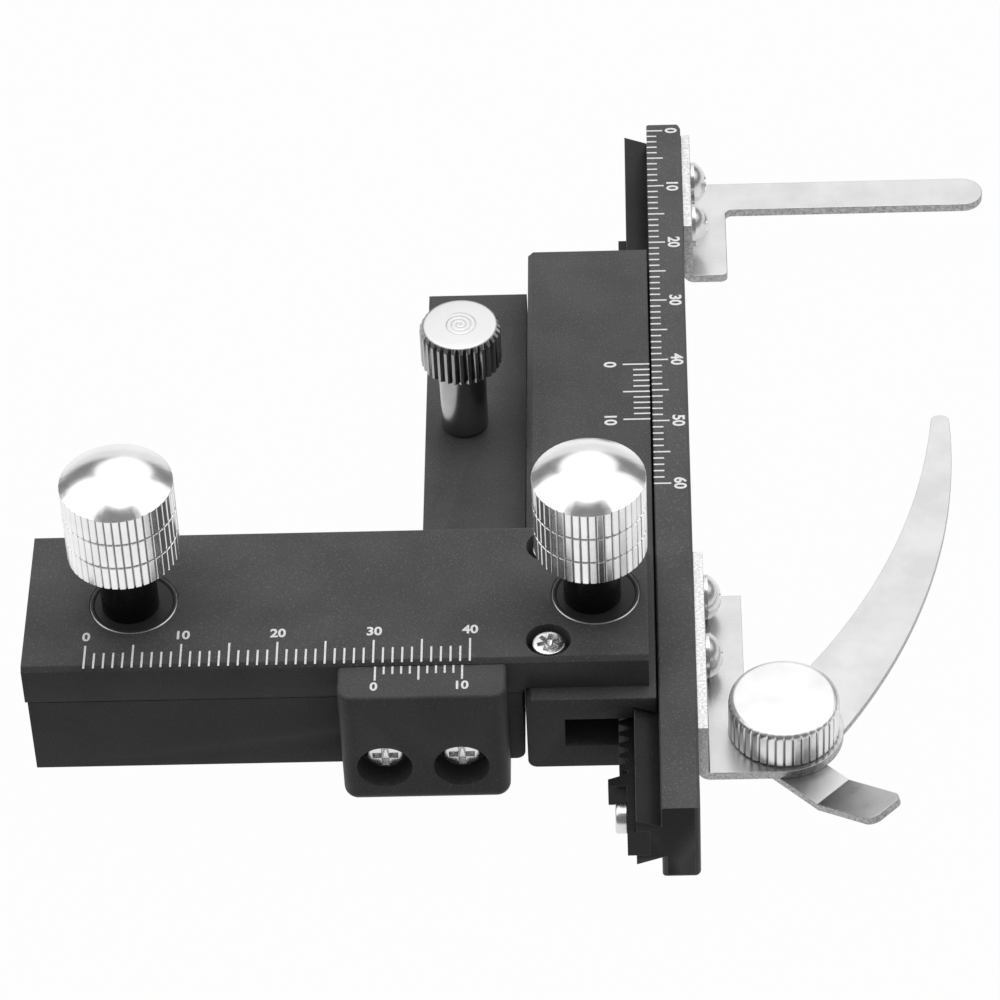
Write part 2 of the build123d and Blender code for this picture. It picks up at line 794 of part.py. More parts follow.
with BuildPart() as y_rack:
    with BuildSketch(Plane.XY.offset(y_rack_centre - y_rack_height / 2)):
        root_x = y_knob_x + pitch_radius + rack_root
        y_edge = [
            (root_x - out, y)
            for y, out in rack_teeth(
                lug_tooth + pitch / 2,
                y_rack_rear - y_rack_rear_land,
                drive_y,
            )
        ]
        with BuildLine():
            Polyline(
                (y_rack_back, bar_front),
                (y_rack_left, bar_front),
                (y_rack_left, lug_front),
                (root_x, lug_front),
                *y_edge,
                (root_x, y_rack_rear - y_rack_rear_land),
                (y_rack_left, y_rack_rear - y_rack_rear_land),
                (y_rack_left, y_rack_rear),
                (y_rack_back, y_rack_rear),
                close=True,
            )
        make_face()
    extrude(amount=y_rack_height)
    # Lug that stops the bar against the housing's front face, grown from the next tooth
    with BuildSketch(Plane.XY.offset(y_rack_centre + y_rack_height / 2)):
        lug_left = y_rack_left - lug_reach
        lug_rear = lug_tooth + (pitch / 2 - backlash) / 2 + rack_root * rack_flank
        with BuildLine():
            Polyline(
                (root_x, lug_front),
                (root_x, lug_rear),
                (lug_left, lug_rear - (root_x - lug_left) * rack_flank),
                (lug_left, lug_front),
                close=True,
            )
        make_face()
    extrude(amount=-lug_height)
    with Locations(facing_left(y_rack_left)):
        with Locations(
            (bar_front + rack_screw_inset, -y_rack_centre),
            (y_rack_rear - rack_screw_inset, -y_rack_centre),
        ):
            Hole(rack_screw_radius + screw_gap, depth=y_rack_land)

save(y_rack.part, "y_rack")

with BuildPart() as y_rack_screws:
    with BuildSketch(Plane.YZ.offset(y_rack_left)):
        with Locations(
            (bar_front + rack_screw_inset, y_rack_centre),
            (y_rack_rear - rack_screw_inset, y_rack_centre),
        ):
            Circle(rack_head_radius)
    extrude(amount=-rack_head_height)
    chamfer(y_rack_screws.faces().group_by(Axis.X)[0].edges(), rack_head_edge)
    with BuildSketch(Plane.YZ.offset(y_rack_left)):
        with Locations(
            (bar_front + rack_screw_inset, y_rack_centre),
            (y_rack_rear - rack_screw_inset, y_rack_centre),
        ):
            Circle(rack_screw_radius)
    extrude(amount=rack_screw_length)

save(y_rack_screws.part, "y_rack_screws")

# ---- Finger bracket -----------------------------------------------------------------------

with BuildPart() as finger_bracket:
    bracket_front = finger_bracket_rear - finger_bracket_length
    # Angle section: upright against the bar, flange outwards
    with BuildSketch(Plane.XZ.offset(-finger_bracket_rear)):
        with Locations((bar_right, finger_bracket_lift)):
            Rectangle(sheet, finger_bracket_height, align=(Align.MIN, Align.MIN))
            Rectangle(bracket_reach, sheet, align=(Align.MIN, Align.MIN))
    extrude(amount=finger_bracket_length)
    bends = finger_bracket.edges().filter_by(Axis.Y)
    fillet(
        bends.filter_by_position(Axis.X, bar_right + sheet - 0.01, bar_right + sheet + 0.01)
        .sort_by(Axis.Z)[0],
        bend_radius,
    )
    outer_bends = finger_bracket.edges().filter_by(Axis.Y).group_by(Axis.Z)[0]
    fillet(outer_bends.sort_by(Axis.X)[0], bend_radius + sheet)
    with BuildSketch(Plane.XY.offset(finger_bracket_lift)):
        with Locations((bar_right + bracket_reach - sheet, finger_bracket_rear)):
            Rectangle(
                finger_reach - bracket_reach + sheet - finger_width / 2,
                finger_width,
                align=(Align.MIN, Align.MAX),
            )
        with Locations((bar_right + finger_reach - finger_width / 2, finger_bracket_rear)):
            with Locations((0, -finger_width / 2)):
                Circle(finger_width / 2)
    extrude(amount=sheet)
    inside_corner = finger_bracket.edges().filter_by(Axis.Z).filter_by_position(
        Axis.Y, finger_bracket_rear - finger_width - 0.01, finger_bracket_rear - finger_width + 0.01
    )
    fillet(inside_corner.sort_by(Axis.X)[0], corner_radius)
    fillet(
        finger_bracket.edges().filter_by(Axis.Z).group_by(Axis.Y)[0].sort_by(Axis.X)[-1],
        corner_radius,
    )
    with Locations(Plane.YZ.offset(bar_right + sheet)):
        with Locations(*[(y, bracket_screw_height) for y in finger_screw_ys]):
            Hole(pan_screw_radius + screw_gap, depth=sheet)

save(finger_bracket.part, "finger_bracket")

# ---- Clip bracket -------------------------------------------------------------------------

with BuildPart() as clip_bracket:
    with BuildSketch(Plane.XZ.offset(-clip_bracket_rear)):
        with Locations((bar_right, clip_bracket_lift)):
            Rectangle(sheet, clip_bracket_height, align=(Align.MIN, Align.MIN))
            Rectangle(bracket_reach, sheet, align=(Align.MIN, Align.MIN))
    extrude(amount=clip_bracket_length)
    bends = clip_bracket.edges().filter_by(Axis.Y)
    fillet(
        bends.filter_by_position(Axis.X, bar_right + sheet - 0.01, bar_right + sheet + 0.01)
        .sort_by(Axis.Z)[0],
        bend_radius,
    )
    outer_bends = clip_bracket.edges().filter_by(Axis.Y).group_by(Axis.Z)[0]
    fillet(outer_bends.sort_by(Axis.X)[0], bend_radius + sheet)
    # Round end under the cap
    with BuildSketch(Plane.XY.offset(clip_bracket_lift)):
        with Locations((pivot_x, pivot_y)):
            Circle(clip_end_radius)
        with Locations((pivot_x, pivot_y - clip_end_radius)):
            Rectangle(
                pivot_x - bar_right - bracket_reach + sheet,
                clip_end_radius,
                align=(Align.MAX, Align.MIN),
            )
    extrude(amount=sheet)
    with Locations((pivot_x, pivot_y, clip_flange_top)):
        Hole(pivot_radius + running_gap)
    with Locations(Plane.YZ.offset(bar_right + sheet)):
        with Locations(*[(y, bracket_screw_height) for y in clip_screw_ys]):
            Hole(pan_screw_radius + screw_gap, depth=sheet)

save(clip_bracket.part, "clip_bracket")

# ---- Pan screws of the two brackets -------------------------------------------------------

for bracket_name, screw_ys in (("finger", finger_screw_ys), ("clip", clip_screw_ys)):
    with BuildPart() as pan_screws:
        with BuildSketch(Plane.YZ.offset(bar_right + sheet)):
            with Locations(*[(y, bracket_screw_height) for y in screw_ys]):
                Circle(pan_radius)
        extrude(amount=pan_height)
        chamfer(pan_screws.faces().group_by(Axis.X)[-1].edges(), pan_height - pan_edge)
        with BuildSketch(Plane.YZ.offset(bar_right + sheet)):
            with Locations(*[(y, bracket_screw_height) for y in screw_ys]):
                Circle(pan_screw_radius)
        extrude(amount=-pan_screw_length)
    save(pan_screws.part, f"{bracket_name}_bracket_screws")

# ---- Specimen clip ------------------------------------------------------------------------


def on_circle(centre, radius, y):
    return (centre[0] + sqrt(radius ** 2 - (y - centre[1]) ** 2), y)


tail_turn = radians(tail_direction)
tail_out = Vector(cos(tail_turn), -sin(tail_turn))
tail_side = Vector(-sin(tail_turn), -cos(tail_turn))
root_turn = radians(horn_root_angle)

with BuildPart() as clip_horn:
    with BuildSketch(Plane.XY.offset(horn_bottom)):
        outer_tip = on_circle(horn_outer_centre, horn_outer_radius, horn_tip_y)
        outer_root = on_circle(horn_outer_centre, horn_outer_radius, 0)
        inner_tip = on_circle(horn_inner_centre, horn_inner_radius, horn_tip_y)
        inner_root = on_circle(horn_inner_centre, horn_inner_radius, horn_root_y)
        disc_side = (-horn_disc_radius * cos(root_turn), horn_disc_radius * sin(root_turn))
        with BuildLine():
            RadiusArc(outer_tip, outer_root, horn_outer_radius)
            Line(outer_root, (0, 0))
            Line((0, 0), disc_side)
            TangentArc(disc_side, inner_root, tangent=(sin(root_turn), cos(root_turn)))
            RadiusArc(inner_root, inner_tip, -horn_inner_radius)
            Line(inner_tip, outer_tip)
        make_face()
        Circle(horn_disc_radius)
        with BuildLine():
            Polyline(
                (0, 0),
                tail_side * horn_disc_radius,
                tail_side * horn_disc_radius + tail_out * tail_fold,
                tail_out * tail_fold,
                close=True,
            )
        make_face()
    extrude(amount=horn_sheet)
    fillet(clip_horn.edges().filter_by(Axis.Z).group_by(Axis.Y)[-1], horn_tip_corner)
    # Raised end of the tail
    fold_middle = tail_side * (horn_disc_radius / 2) + tail_out * tail_fold
    slope = radians(tail_angle)
    rise_plane = Plane(
        origin=(fold_middle.X, fold_middle.Y, horn_bottom),
        x_dir=(tail_out.X * cos(slope), tail_out.Y * cos(slope), sin(slope)),
        z_dir=(-tail_out.X * sin(slope), -tail_out.Y * sin(slope), cos(slope)),
    )
    with BuildSketch(rise_plane):
        with Locations((-tail_overlap, 0)):
            Rectangle(tail_rise, horn_disc_radius, align=(Align.MIN, Align.CENTER))
    extrude(amount=horn_sheet)
    sheet_edges = clip_horn.edges().filter_by(lambda edge: abs(edge.length - horn_sheet) < 0.01)
    tail_end = fold_middle + tail_out * (2 * tail_rise) + Vector(0, 0, horn_bottom)
    fillet(sheet_edges.sort_by_distance(tail_end)[0:2], tail_corner)
    with Locations((0, 0, horn_top)):
        Hole(pivot_radius + screw_gap)

save(clip_horn.part.moved(Location((pivot_x, pivot_y, 0))), "clip_horn")

with BuildPart() as clip_pivot:
    pivot_top = cap_bottom + pivot_in_cap
    with BuildSketch(Plane.XZ):
        with BuildLine():
            Polyline(
                (0, horn_bottom - pivot_head_height),
                (pivot_head_radius - pivot_head_height / 2, horn_bottom - pivot_head_height),
                (pivot_head_radius, horn_bottom - pivot_head_height / 2),
                (pivot_head_radius, horn_bottom),
                (pivot_radius, horn_bottom),
                (pivot_radius, pivot_top),
                (0, pivot_top),
                close=True,
            )
        make_face()
    revolve(axis=Axis.Z)

save(clip_pivot.part.moved(Location((pivot_x, pivot_y, 0))), "clip_pivot")

with BuildPart() as clip_cap:
    with BuildSketch(Plane.XY.offset(cap_bottom)):
        Circle(cap_radius)
    extrude(amount=cap_height)
    chamfer(clip_cap.edges().group_by(Axis.Z)[-1], cap_bevel)
    with BuildSketch(Plane.XY.offset(cap_bottom)):
        Circle(cap_room_radius)
        Circle(cap_boss_radius, mode=Mode.SUBTRACT)
    extrude(amount=cap_room_height, mode=Mode.SUBTRACT)
    with Locations(facing_down(cap_bottom)):
        Hole(pivot_radius + screw_gap, depth=pivot_in_cap)

save(clip_cap.part.moved(Location((pivot_x, pivot_y, 0))), "clip_cap")

with BuildPart() as clip_spring:
    with BuildSketch(Plane.XY.offset(clip_flange_top)):
        Circle(spring_radius + spring_wire / 2)
        Circle(spring_radius - spring_wire / 2, mode=Mode.SUBTRACT)
    extrude(amount=spring_height)

save(clip_spring.part.moved(Location((pivot_x, pivot_y, 0))), "clip_spring")

# ---- Clamp thumb screw --------------------------------------------------------------------

with BuildPart() as clamp_screw:
    shank_bottom = plate_thickness + face_gap
    head_bottom = shank_bottom + clamp_shank_length
    with BuildSketch(Plane.XY.offset(-clamp_reach)):
        Circle(clamp_thread_radius)
    extrude(amount=clamp_reach + clamp_thread_rise)
    chamfer(clamp_screw.edges().group_by(Axis.Z)[0], clamp_point)
    with BuildSketch(Plane.XY.offset(clamp_thread_rise)):
        Circle(clamp_neck_radius)
    extrude(amount=shank_bottom - clamp_thread_rise)
    with BuildSketch(Plane.XY.offset(shank_bottom)):
        Circle(clamp_shank_radius)
    extrude(amount=clamp_shank_length)
    with BuildSketch(Plane.XY.offset(head_bottom)):
        Circle(clamp_head_radius)
    extrude(amount=clamp_head_height)
    chamfer(clamp_screw.edges().group_by(Axis.Z)[-1], clamp_head_bevel)

save(clamp_screw.part, "clamp_screw")
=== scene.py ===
import math

import bmesh
import bpy
from mathutils import Euler, Matrix, Vector


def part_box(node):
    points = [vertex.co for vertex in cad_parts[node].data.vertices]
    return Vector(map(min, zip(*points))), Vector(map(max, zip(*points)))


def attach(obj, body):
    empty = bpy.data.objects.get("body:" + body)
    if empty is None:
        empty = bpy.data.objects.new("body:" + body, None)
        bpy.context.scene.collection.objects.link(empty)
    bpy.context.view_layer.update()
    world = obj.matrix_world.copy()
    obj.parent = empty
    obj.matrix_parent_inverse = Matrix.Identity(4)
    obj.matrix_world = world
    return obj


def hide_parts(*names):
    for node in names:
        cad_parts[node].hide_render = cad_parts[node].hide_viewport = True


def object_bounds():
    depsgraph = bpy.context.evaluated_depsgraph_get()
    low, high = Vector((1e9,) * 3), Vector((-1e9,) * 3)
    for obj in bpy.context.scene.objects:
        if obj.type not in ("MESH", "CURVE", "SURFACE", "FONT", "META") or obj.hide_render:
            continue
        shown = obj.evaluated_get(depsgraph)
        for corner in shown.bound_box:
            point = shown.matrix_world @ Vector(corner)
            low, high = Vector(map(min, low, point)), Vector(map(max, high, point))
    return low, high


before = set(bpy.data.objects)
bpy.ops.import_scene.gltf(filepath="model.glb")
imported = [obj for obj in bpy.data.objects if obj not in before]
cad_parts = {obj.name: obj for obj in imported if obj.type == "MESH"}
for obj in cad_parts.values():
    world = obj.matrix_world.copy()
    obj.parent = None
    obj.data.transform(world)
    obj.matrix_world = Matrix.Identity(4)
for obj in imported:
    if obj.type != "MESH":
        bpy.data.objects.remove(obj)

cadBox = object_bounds()
mm = 0.001               # the frame is in metres, the sizes below are in millimetres
weld = 0.0005 * mm       # points nearer than this become one
plainSmooth = 30.0       # faces that meet at fewer degrees than this are shaded as one
turnedSmooth = 32.0      # the same for turned pieces
fullAngle = 2 * math.pi


def boxOf(node):
    # the box of a CAD node in millimetres
    low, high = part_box(node)
    return low / mm, high / mm


def roundBox(node):
    # radius and height of an upright round CAD node, and the foot of its axis
    low, high = boxOf(node)
    foot = ((low.x + high.x) / 2, (low.y + high.y) / 2, low.z)
    return (high.x - low.x) / 2, high.z - low.z, foot


# Small helpers for node trees, shared by shaders and Geometry Nodes

def plug(tree, node, inputs):
    for key, value in inputs.items():
        if isinstance(value, bpy.types.NodeSocket):
            tree.links.new(value, node.inputs[key])
        else:
            node.inputs[key].default_value = value


def addNode(tree, kind, inputs=None, **settings):
    node = tree.nodes.new(kind)
    for key, value in settings.items():
        setattr(node, key, value)
    plug(tree, node, inputs or {})
    return node


def calc(tree, operation, first, second=0.0, third=0.0):
    inputs = {0: first, 1: second, 2: third}
    return addNode(tree, "ShaderNodeMath", inputs, operation=operation).outputs[0]


def startMaterial(name):
    material = bpy.data.materials.new(name)
    material.use_nodes = True
    tree = material.node_tree
    return material, tree, tree.nodes["Principled BSDF"]


def grey(value):
    return (value, value, value, 1)


def mix(tree, share, first, second, blend="MIX"):
    inputs = {0: share, 6: first, 7: second}
    return addNode(tree, "ShaderNodeMix", inputs, data_type="RGBA", blend_type=blend).outputs[2]


def ramp(tree, value, stops, shades):
    # from the first shade to the second, between the two stops
    node = addNode(tree, "ShaderNodeValToRGB", {"Fac": value})
    for point, place, shade in zip(node.color_ramp.elements, stops, shades):
        point.position = place
        point.color = grey(shade)
    return node.outputs["Color"]


def spread(tree, value, low, high, lowest=0.3, highest=0.7):
    # noise lies mostly between 0.3 and 0.7, so that is what is spread by default
    node = addNode(tree, "ShaderNodeMapRange", {
        "Value": value, "From Min": lowest, "From Max": highest, "To Min": low, "To Max": high})
    return node.outputs["Result"]


def noise(tree, place, scale, detail=2.0, stretch=None):
    if stretch:
        place = addNode(tree, "ShaderNodeMapping", {"Vector": place, "Scale": stretch}).outputs[0]
    node = addNode(tree, "ShaderNodeTexNoise", {
        "Vector": place, "Scale": scale, "Detail": detail})
    return node.outputs["Fac"]


# Rounded and worn edges of every finish

edges = {
    "samples": 6,
    "wearFrom": 0.995, "wearFull": 0.90,     # cosine between a face and its rounded edge
}


def softEdge(tree, radius):
    bevel = addNode(tree, "ShaderNodeBevel", {"Radius": radius * mm}, samples=edges["samples"])
    return bevel.outputs["Normal"]


def edgeWear(tree, radius):
    # 1 on a sharp edge, 0 on a flat face
    flat = addNode(tree, "ShaderNodeNewGeometry").outputs["Normal"]
    match = addNode(tree, "ShaderNodeVectorMath", {
        0: softEdge(tree, radius), 1: flat}, operation="DOT_PRODUCT").outputs["Value"]
    return spread(tree, match, 0.0, 1.0, edges["wearFrom"], edges["wearFull"])


def bumpOf(tree, height, strength, depth, under=None, **settings):
    inputs = {"Height": height, "Strength": strength, "Distance": depth * mm}
    if under:
        inputs["Normal"] = under
    return addNode(tree, "ShaderNodeBump", inputs, **settings).outputs["Normal"]


# Black anodised aluminium with a fine blasted grain, a little paler along its edges

anodised = {
    "body": {"black": (0.070, 0.092), "rough": (0.40, 0.58), "speck": 0.10, "speckFrom": 0.56,
             "grain": 5200.0, "bump": 0.35, "edge": 0.10, "ior": 1.25},
    "scaleBar": {"black": (0.078, 0.104), "rough": (0.34, 0.56), "speck": 0.13, "speckFrom": 0.56,
                 "grain": 5600.0, "bump": 0.45, "edge": 0.14, "ior": 1.28},
    "turned": {"black": (0.006, 0.012), "rough": (0.24, 0.34), "speck": 0.01, "speckFrom": 0.7,
               "grain": 6000.0, "bump": 0.12, "edge": 0.08, "ior": 1.30},
    "bushing": {"black": (0.030, 0.042), "rough": (0.34, 0.46), "speck": 0.03, "speckFrom": 0.6,
                "grain": 5600.0, "bump": 0.20, "edge": 0.08, "ior": 1.28},
    # the dovetail is darker than the bar: partly its smoother milled finish, partly painted shade
    "dovetail": {"black": (0.018, 0.028), "rough": (0.30, 0.42), "speck": 0.04, "speckFrom": 0.6,
                 "grain": 5600.0, "bump": 0.25, "edge": 0.16, "ior": 1.25},
}
blasted = {
    "edgeRadius": 0.12, "grainHeight": 0.02, "speckFull": 0.78,
    "cloudScale": 160.0, "cloudDetail": 4.0, "cloudStops": (0.3, 0.7),
    "wearScale": 900.0, "wearShare": (0.5, 1.0), "wearGrey": 0.9,
}


def makeAnodised(name, look):
    material, tree, shader = startMaterial(name)
    place = addNode(tree, "ShaderNodeTexCoord").outputs["Object"]
    grain = noise(tree, place, look["grain"])
    cloud = noise(tree, place, blasted["cloudScale"], blasted["cloudDetail"])
    black = ramp(tree, cloud, blasted["cloudStops"], look["black"])
    specks = spread(tree, grain, 0.0, look["speck"], look["speckFrom"], blasted["speckFull"])
    patches = spread(tree, noise(tree, place, blasted["wearScale"]), *blasted["wearShare"])
    worn = calc(tree, "MULTIPLY", edgeWear(tree, blasted["edgeRadius"]), look["edge"])
    worn = calc(tree, "MULTIPLY", worn, patches)
    colour = mix(tree, worn, mix(tree, specks, black, grey(1)), grey(blasted["wearGrey"]))
    plug(tree, shader, {
        "Base Color": colour,
        "Roughness": spread(tree, grain, *look["rough"]),
        "Normal": bumpOf(tree, grain, look["bump"], blasted["grainHeight"],
                         softEdge(tree, blasted["edgeRadius"])),
        "IOR": look["ior"]})
    return material


# Bright metals: a slightly cloudy colour, fine lathe or rolling lines and rounded edges

metals = {
    # colour low and high, roughness low and high, grain scale, stretch of the lines,
    # strength of the bump, edge radius
    "polishedAluminium": ((0.84, 0.92), (0.16, 0.24), 1400.0, (1, 1, 1), 0.12, 0.08),
    "capAluminium": ((0.76, 0.86), (0.28, 0.38), 1800.0, (1, 1, 1), 0.20, 0.10),
    # the clamp screw's grey is kept dark as painted shade on its sides
    "clampAluminium": ((0.34, 0.42), (0.20, 0.26), 1400.0, (1, 1, 1), 0.06, 0.08),
    "platedSheet": ((0.59, 0.67), (0.25, 0.35), 1500.0, (1, 0.15, 1), 0.10, 0.10),
    "cutSheetEdge": ((0.24, 0.46), (0.28, 0.42), 3600.0, (1, 1, 1), 0.80, 0.06),
    # the cut edge is painted lighter where it faces up on a bracket's top: a painted highlight
    "sheetRim": ((0.56, 0.88), (0.28, 0.42), 3600.0, (1, 1, 1), 0.90, 0.06),
    "platedScrew": ((0.66, 0.80), (0.20, 0.32), 2200.0, (1, 1, 1), 0.20, 0.06),
    "springSteel": ((0.50, 0.62), (0.25, 0.35), 2500.0, (1, 1, 1), 0.20, 0.04),
    "brassPinion": ((0.60, 0.70), (0.25, 0.35), 2000.0, (1, 1, 1), 0.20, 0.04),
}
worked = {
    "grainDetail": 3.0, "grainHeight": 0.01, "cloudScale": 240.0, "cloudDetail": 3.0,
    "cloudShare": 0.4, "grainShare": 0.6,      # how much each has of the roughness
    "shadeStops": (0.35, 0.65),
    "mottled": 0.5,        # a bump stronger than this also mottles the colour with the grain
    "grooveDark": 0.74, "grooveGrey": 0.03,    # painted shade: how dark the foot of a knurl's groove and a groove's wall are painted
    "grooveFrom": 0.35, "grooveFull": 0.95,
}


def makeMetal(name, tint=(1.0, 1.0, 1.0)):
    greys, rough, scale, stretch, strength, edge = metals[name]
    material, tree, shader = startMaterial(name)
    place = addNode(tree, "ShaderNodeTexCoord").outputs["Object"]
    grain = noise(tree, place, scale, worked["grainDetail"], stretch)
    cloud = noise(tree, place, worked["cloudScale"], worked["cloudDetail"])
    shade = grain if strength > worked["mottled"] else cloud
    shade = ramp(tree, shade, worked["shadeStops"], greys)
    # the groove attribute carries painted shade into the foot of each knurl groove and onto groove
    # walls
    groove = addNode(tree, "ShaderNodeAttribute", attribute_name="groove").outputs["Fac"]
    grooveShade = spread(tree, groove, 0.0, worked["grooveDark"],
                  worked["grooveFrom"], worked["grooveFull"])
    uneven = calc(tree, "MULTIPLY_ADD", cloud, worked["cloudShare"],
                  calc(tree, "MULTIPLY", grain, worked["grainShare"]))
    colour = mix(tree, 1.0, shade, (*tint, 1), "MULTIPLY")
    plug(tree, shader, {
        "Base Color": mix(tree, grooveShade, colour, grey(worked["grooveGrey"])),
        "Roughness": spread(tree, uneven, *rough),
        "Normal": bumpOf(tree, grain, strength, worked["grainHeight"], softEdge(tree, edge)),
        "Metallic": 1.0})
    return material


# White filled marks, a little uneven as engraved lines are

markLook = {"grain": 5000.0, "greys": (0.80, 0.97), "greyStops": (0.3, 0.6), "rough": (0.5, 0.7),
            "bump": 0.3, "grainHeight": 0.01}


def makeMarkPaint():
    material, tree, shader = startMaterial("markPaint")
    place = addNode(tree, "ShaderNodeTexCoord").outputs["Object"]
    grain = noise(tree, place, markLook["grain"])
    plug(tree, shader, {
        "Base Color": ramp(tree, grain, markLook["greyStops"], markLook["greys"]),
        "Roughness": spread(tree, grain, *markLook["rough"]),
        "Normal": bumpOf(tree, grain, markLook["bump"], markLook["grainHeight"])})
    return material


# Clamp screw metal, with the fine spiral that the cutter left on its head; its sides are painted
# dark as painted shade, and its flat top lighter, partly a machined face and partly a painted
# highlight

clampSpiral = {
    # top is the grey of the flat top, painted lighter than the sides as a painted highlight
    "pitch": 0.55, "reach": 1.9, "depth": 0.05, "bump": 0.5, "shade": 0.60, "top": 0.70,
    "line": 0.9,           # the sine's value at which the line is full
    "topDepth": 0.08,      # what lies nearer than this to the head's top is its flat top
}


def makeClampMetal():
    material = makeMetal("clampAluminium")
    tree = material.node_tree
    shader = tree.nodes["Principled BSDF"]
    plainColour = shader.inputs["Base Color"].links[0].from_socket
    plainNormal = shader.inputs["Normal"].links[0].from_socket
    place = addNode(tree, "ShaderNodeTexCoord").outputs["Object"]
    x, y, z = addNode(tree, "ShaderNodeSeparateXYZ", {0: place}).outputs
    flat = addNode(tree, "ShaderNodeCombineXYZ", {0: x, 1: y}).outputs[0]
    radius = addNode(tree, "ShaderNodeVectorMath", {0: flat}, operation="LENGTH")
    radius = calc(tree, "DIVIDE", radius.outputs["Value"], mm)
    turn = calc(tree, "DIVIDE", calc(tree, "ARCTAN2", y, x), fullAngle)
    turns = calc(tree, "SUBTRACT", calc(tree, "DIVIDE", radius, clampSpiral["pitch"]), turn)
    wave = calc(tree, "SINE", calc(tree, "MULTIPLY", turns, fullAngle))
    top = boxOf("clamp_screw")[1].z * mm - clampSpiral["topDepth"] * mm
    onTop = calc(tree, "GREATER_THAN", z, top)
    inside = calc(tree, "MULTIPLY", calc(tree, "LESS_THAN", radius, clampSpiral["reach"]), onTop)
    wave = spread(tree, wave, 0.0, 1.0, 0.0, clampSpiral["line"])
    wave = calc(tree, "MULTIPLY", wave, inside)
    # the flat top is painted lighter than the sides: partly a machined face, partly a painted
    # highlight
    topHighlightColour = mix(tree, onTop, plainColour, grey(clampSpiral["top"]))
    plug(tree, shader, {
        "Base Color": mix(tree, wave, topHighlightColour, grey(clampSpiral["shade"])),
        "Normal": bumpOf(tree, wave, clampSpiral["bump"], clampSpiral["depth"], plainNormal,
                         invert=True)})
    return material


bodyBlack = makeAnodised("bodyBlack", anodised["body"])
barBlack = makeAnodised("barBlack", anodised["scaleBar"])
turnedBlack = makeAnodised("turnedBlack", anodised["turned"])
dovetailBlack = makeAnodised("dovetailBlack", anodised["dovetail"])
bushingBlack = makeAnodised("bushingBlack", anodised["bushing"])
polishedAluminium = makeMetal("polishedAluminium")
capAluminium = makeMetal("capAluminium")
platedSheet = makeMetal("platedSheet")
platedScrew = makeMetal("platedScrew")
cutSheetEdge = makeMetal("cutSheetEdge")
sheetRim = makeMetal("sheetRim")
springSteel = makeMetal("springSteel")
brassPinion = makeMetal("brassPinion", (1.0, 0.80, 0.45))
clampAluminium = makeClampMetal()
markPaint = makeMarkPaint()
print("materials made")


# Geometry Nodes: every tree has named inputs and ends in Realize Instances and Set Material

def startTree(name, inputs):
    tree = bpy.data.node_groups.new(name, "GeometryNodeTree")
    tree.is_modifier = True
    face = tree.interface
    face.new_socket("Geometry", in_out="INPUT", socket_type="NodeSocketGeometry")
    for label, kind in inputs:
        face.new_socket(label, in_out="INPUT", socket_type="NodeSocket" + kind)
    face.new_socket("Geometry", in_out="OUTPUT", socket_type="NodeSocketGeometry")
    return tree, tree.nodes.new("NodeGroupInput").outputs


def endTree(tree, geometry, finish):
    real = addNode(tree, "GeometryNodeRealizeInstances", {0: geometry})
    painted = addNode(tree, "GeometryNodeSetMaterial", {
        "Geometry": real.outputs[0], "Material": finish})
    end = tree.nodes.new("NodeGroupOutput")
    tree.links.new(painted.outputs[0], end.inputs[0])
    return tree


def linkObject(name, data):
    item = bpy.data.objects.new(name, data)
    bpy.context.scene.collection.objects.link(item)
    return item


def bakeMesh(draft):
    # the evaluated object as a plain mesh; the draft goes
    bpy.context.view_layer.update()
    graph = bpy.context.evaluated_depsgraph_get()
    mesh = bpy.data.meshes.new_from_object(draft.evaluated_get(graph))
    bpy.data.objects.remove(draft)
    return mesh


def meshFrom(name, shape):
    mesh = bpy.data.meshes.new(name)
    shape.to_mesh(mesh)
    shape.free()
    return mesh


def finishPiece(name, mesh, smooth):
    shape = bmesh.new()
    shape.from_mesh(mesh)
    bmesh.ops.remove_doubles(shape, verts=shape.verts, dist=weld)
    bmesh.ops.dissolve_degenerate(shape, edges=shape.edges, dist=weld)
    bmesh.ops.recalc_face_normals(shape, faces=shape.faces)
    shape.to_mesh(mesh)
    shape.free()
    for face in mesh.polygons:
        face.use_smooth = True
    mesh.set_sharp_from_angle(angle=math.radians(smooth))
    mesh.name = name
    return linkObject(name, mesh)


def growPiece(name, tree, mesh, values, smooth=plainSmooth):
    seed = linkObject(name + "Seed", mesh)
    modifier = seed.modifiers.new("shape", "NODES")
    modifier.node_group = tree
    for item in tree.interface.items_tree:
        if item.item_type == "SOCKET" and item.in_out == "INPUT" and item.name in values:
            modifier[item.identifier] = values[item.name]
    return finishPiece(name, bakeMesh(seed), smooth)


def pointMesh(name, points, **weights):
    mesh = bpy.data.meshes.new(name)
    mesh.from_pydata([Vector(point) * mm for point in points], [], [])
    for label, values in weights.items():
        layer = mesh.attributes.new(label, "FLOAT", "POINT")
        layer.data.foreach_set("value", [float(value) for value in values])
    return mesh


# Turned pieces: the outline goes round the axis, with ridges where it is knurled and a thread
# where it is threaded

columnsPerRidge = 5.0    # two edges of the crest, both lips, and the foot of the groove
plainCrest = 0.2         # spaces the columns of a piece without ridges evenly


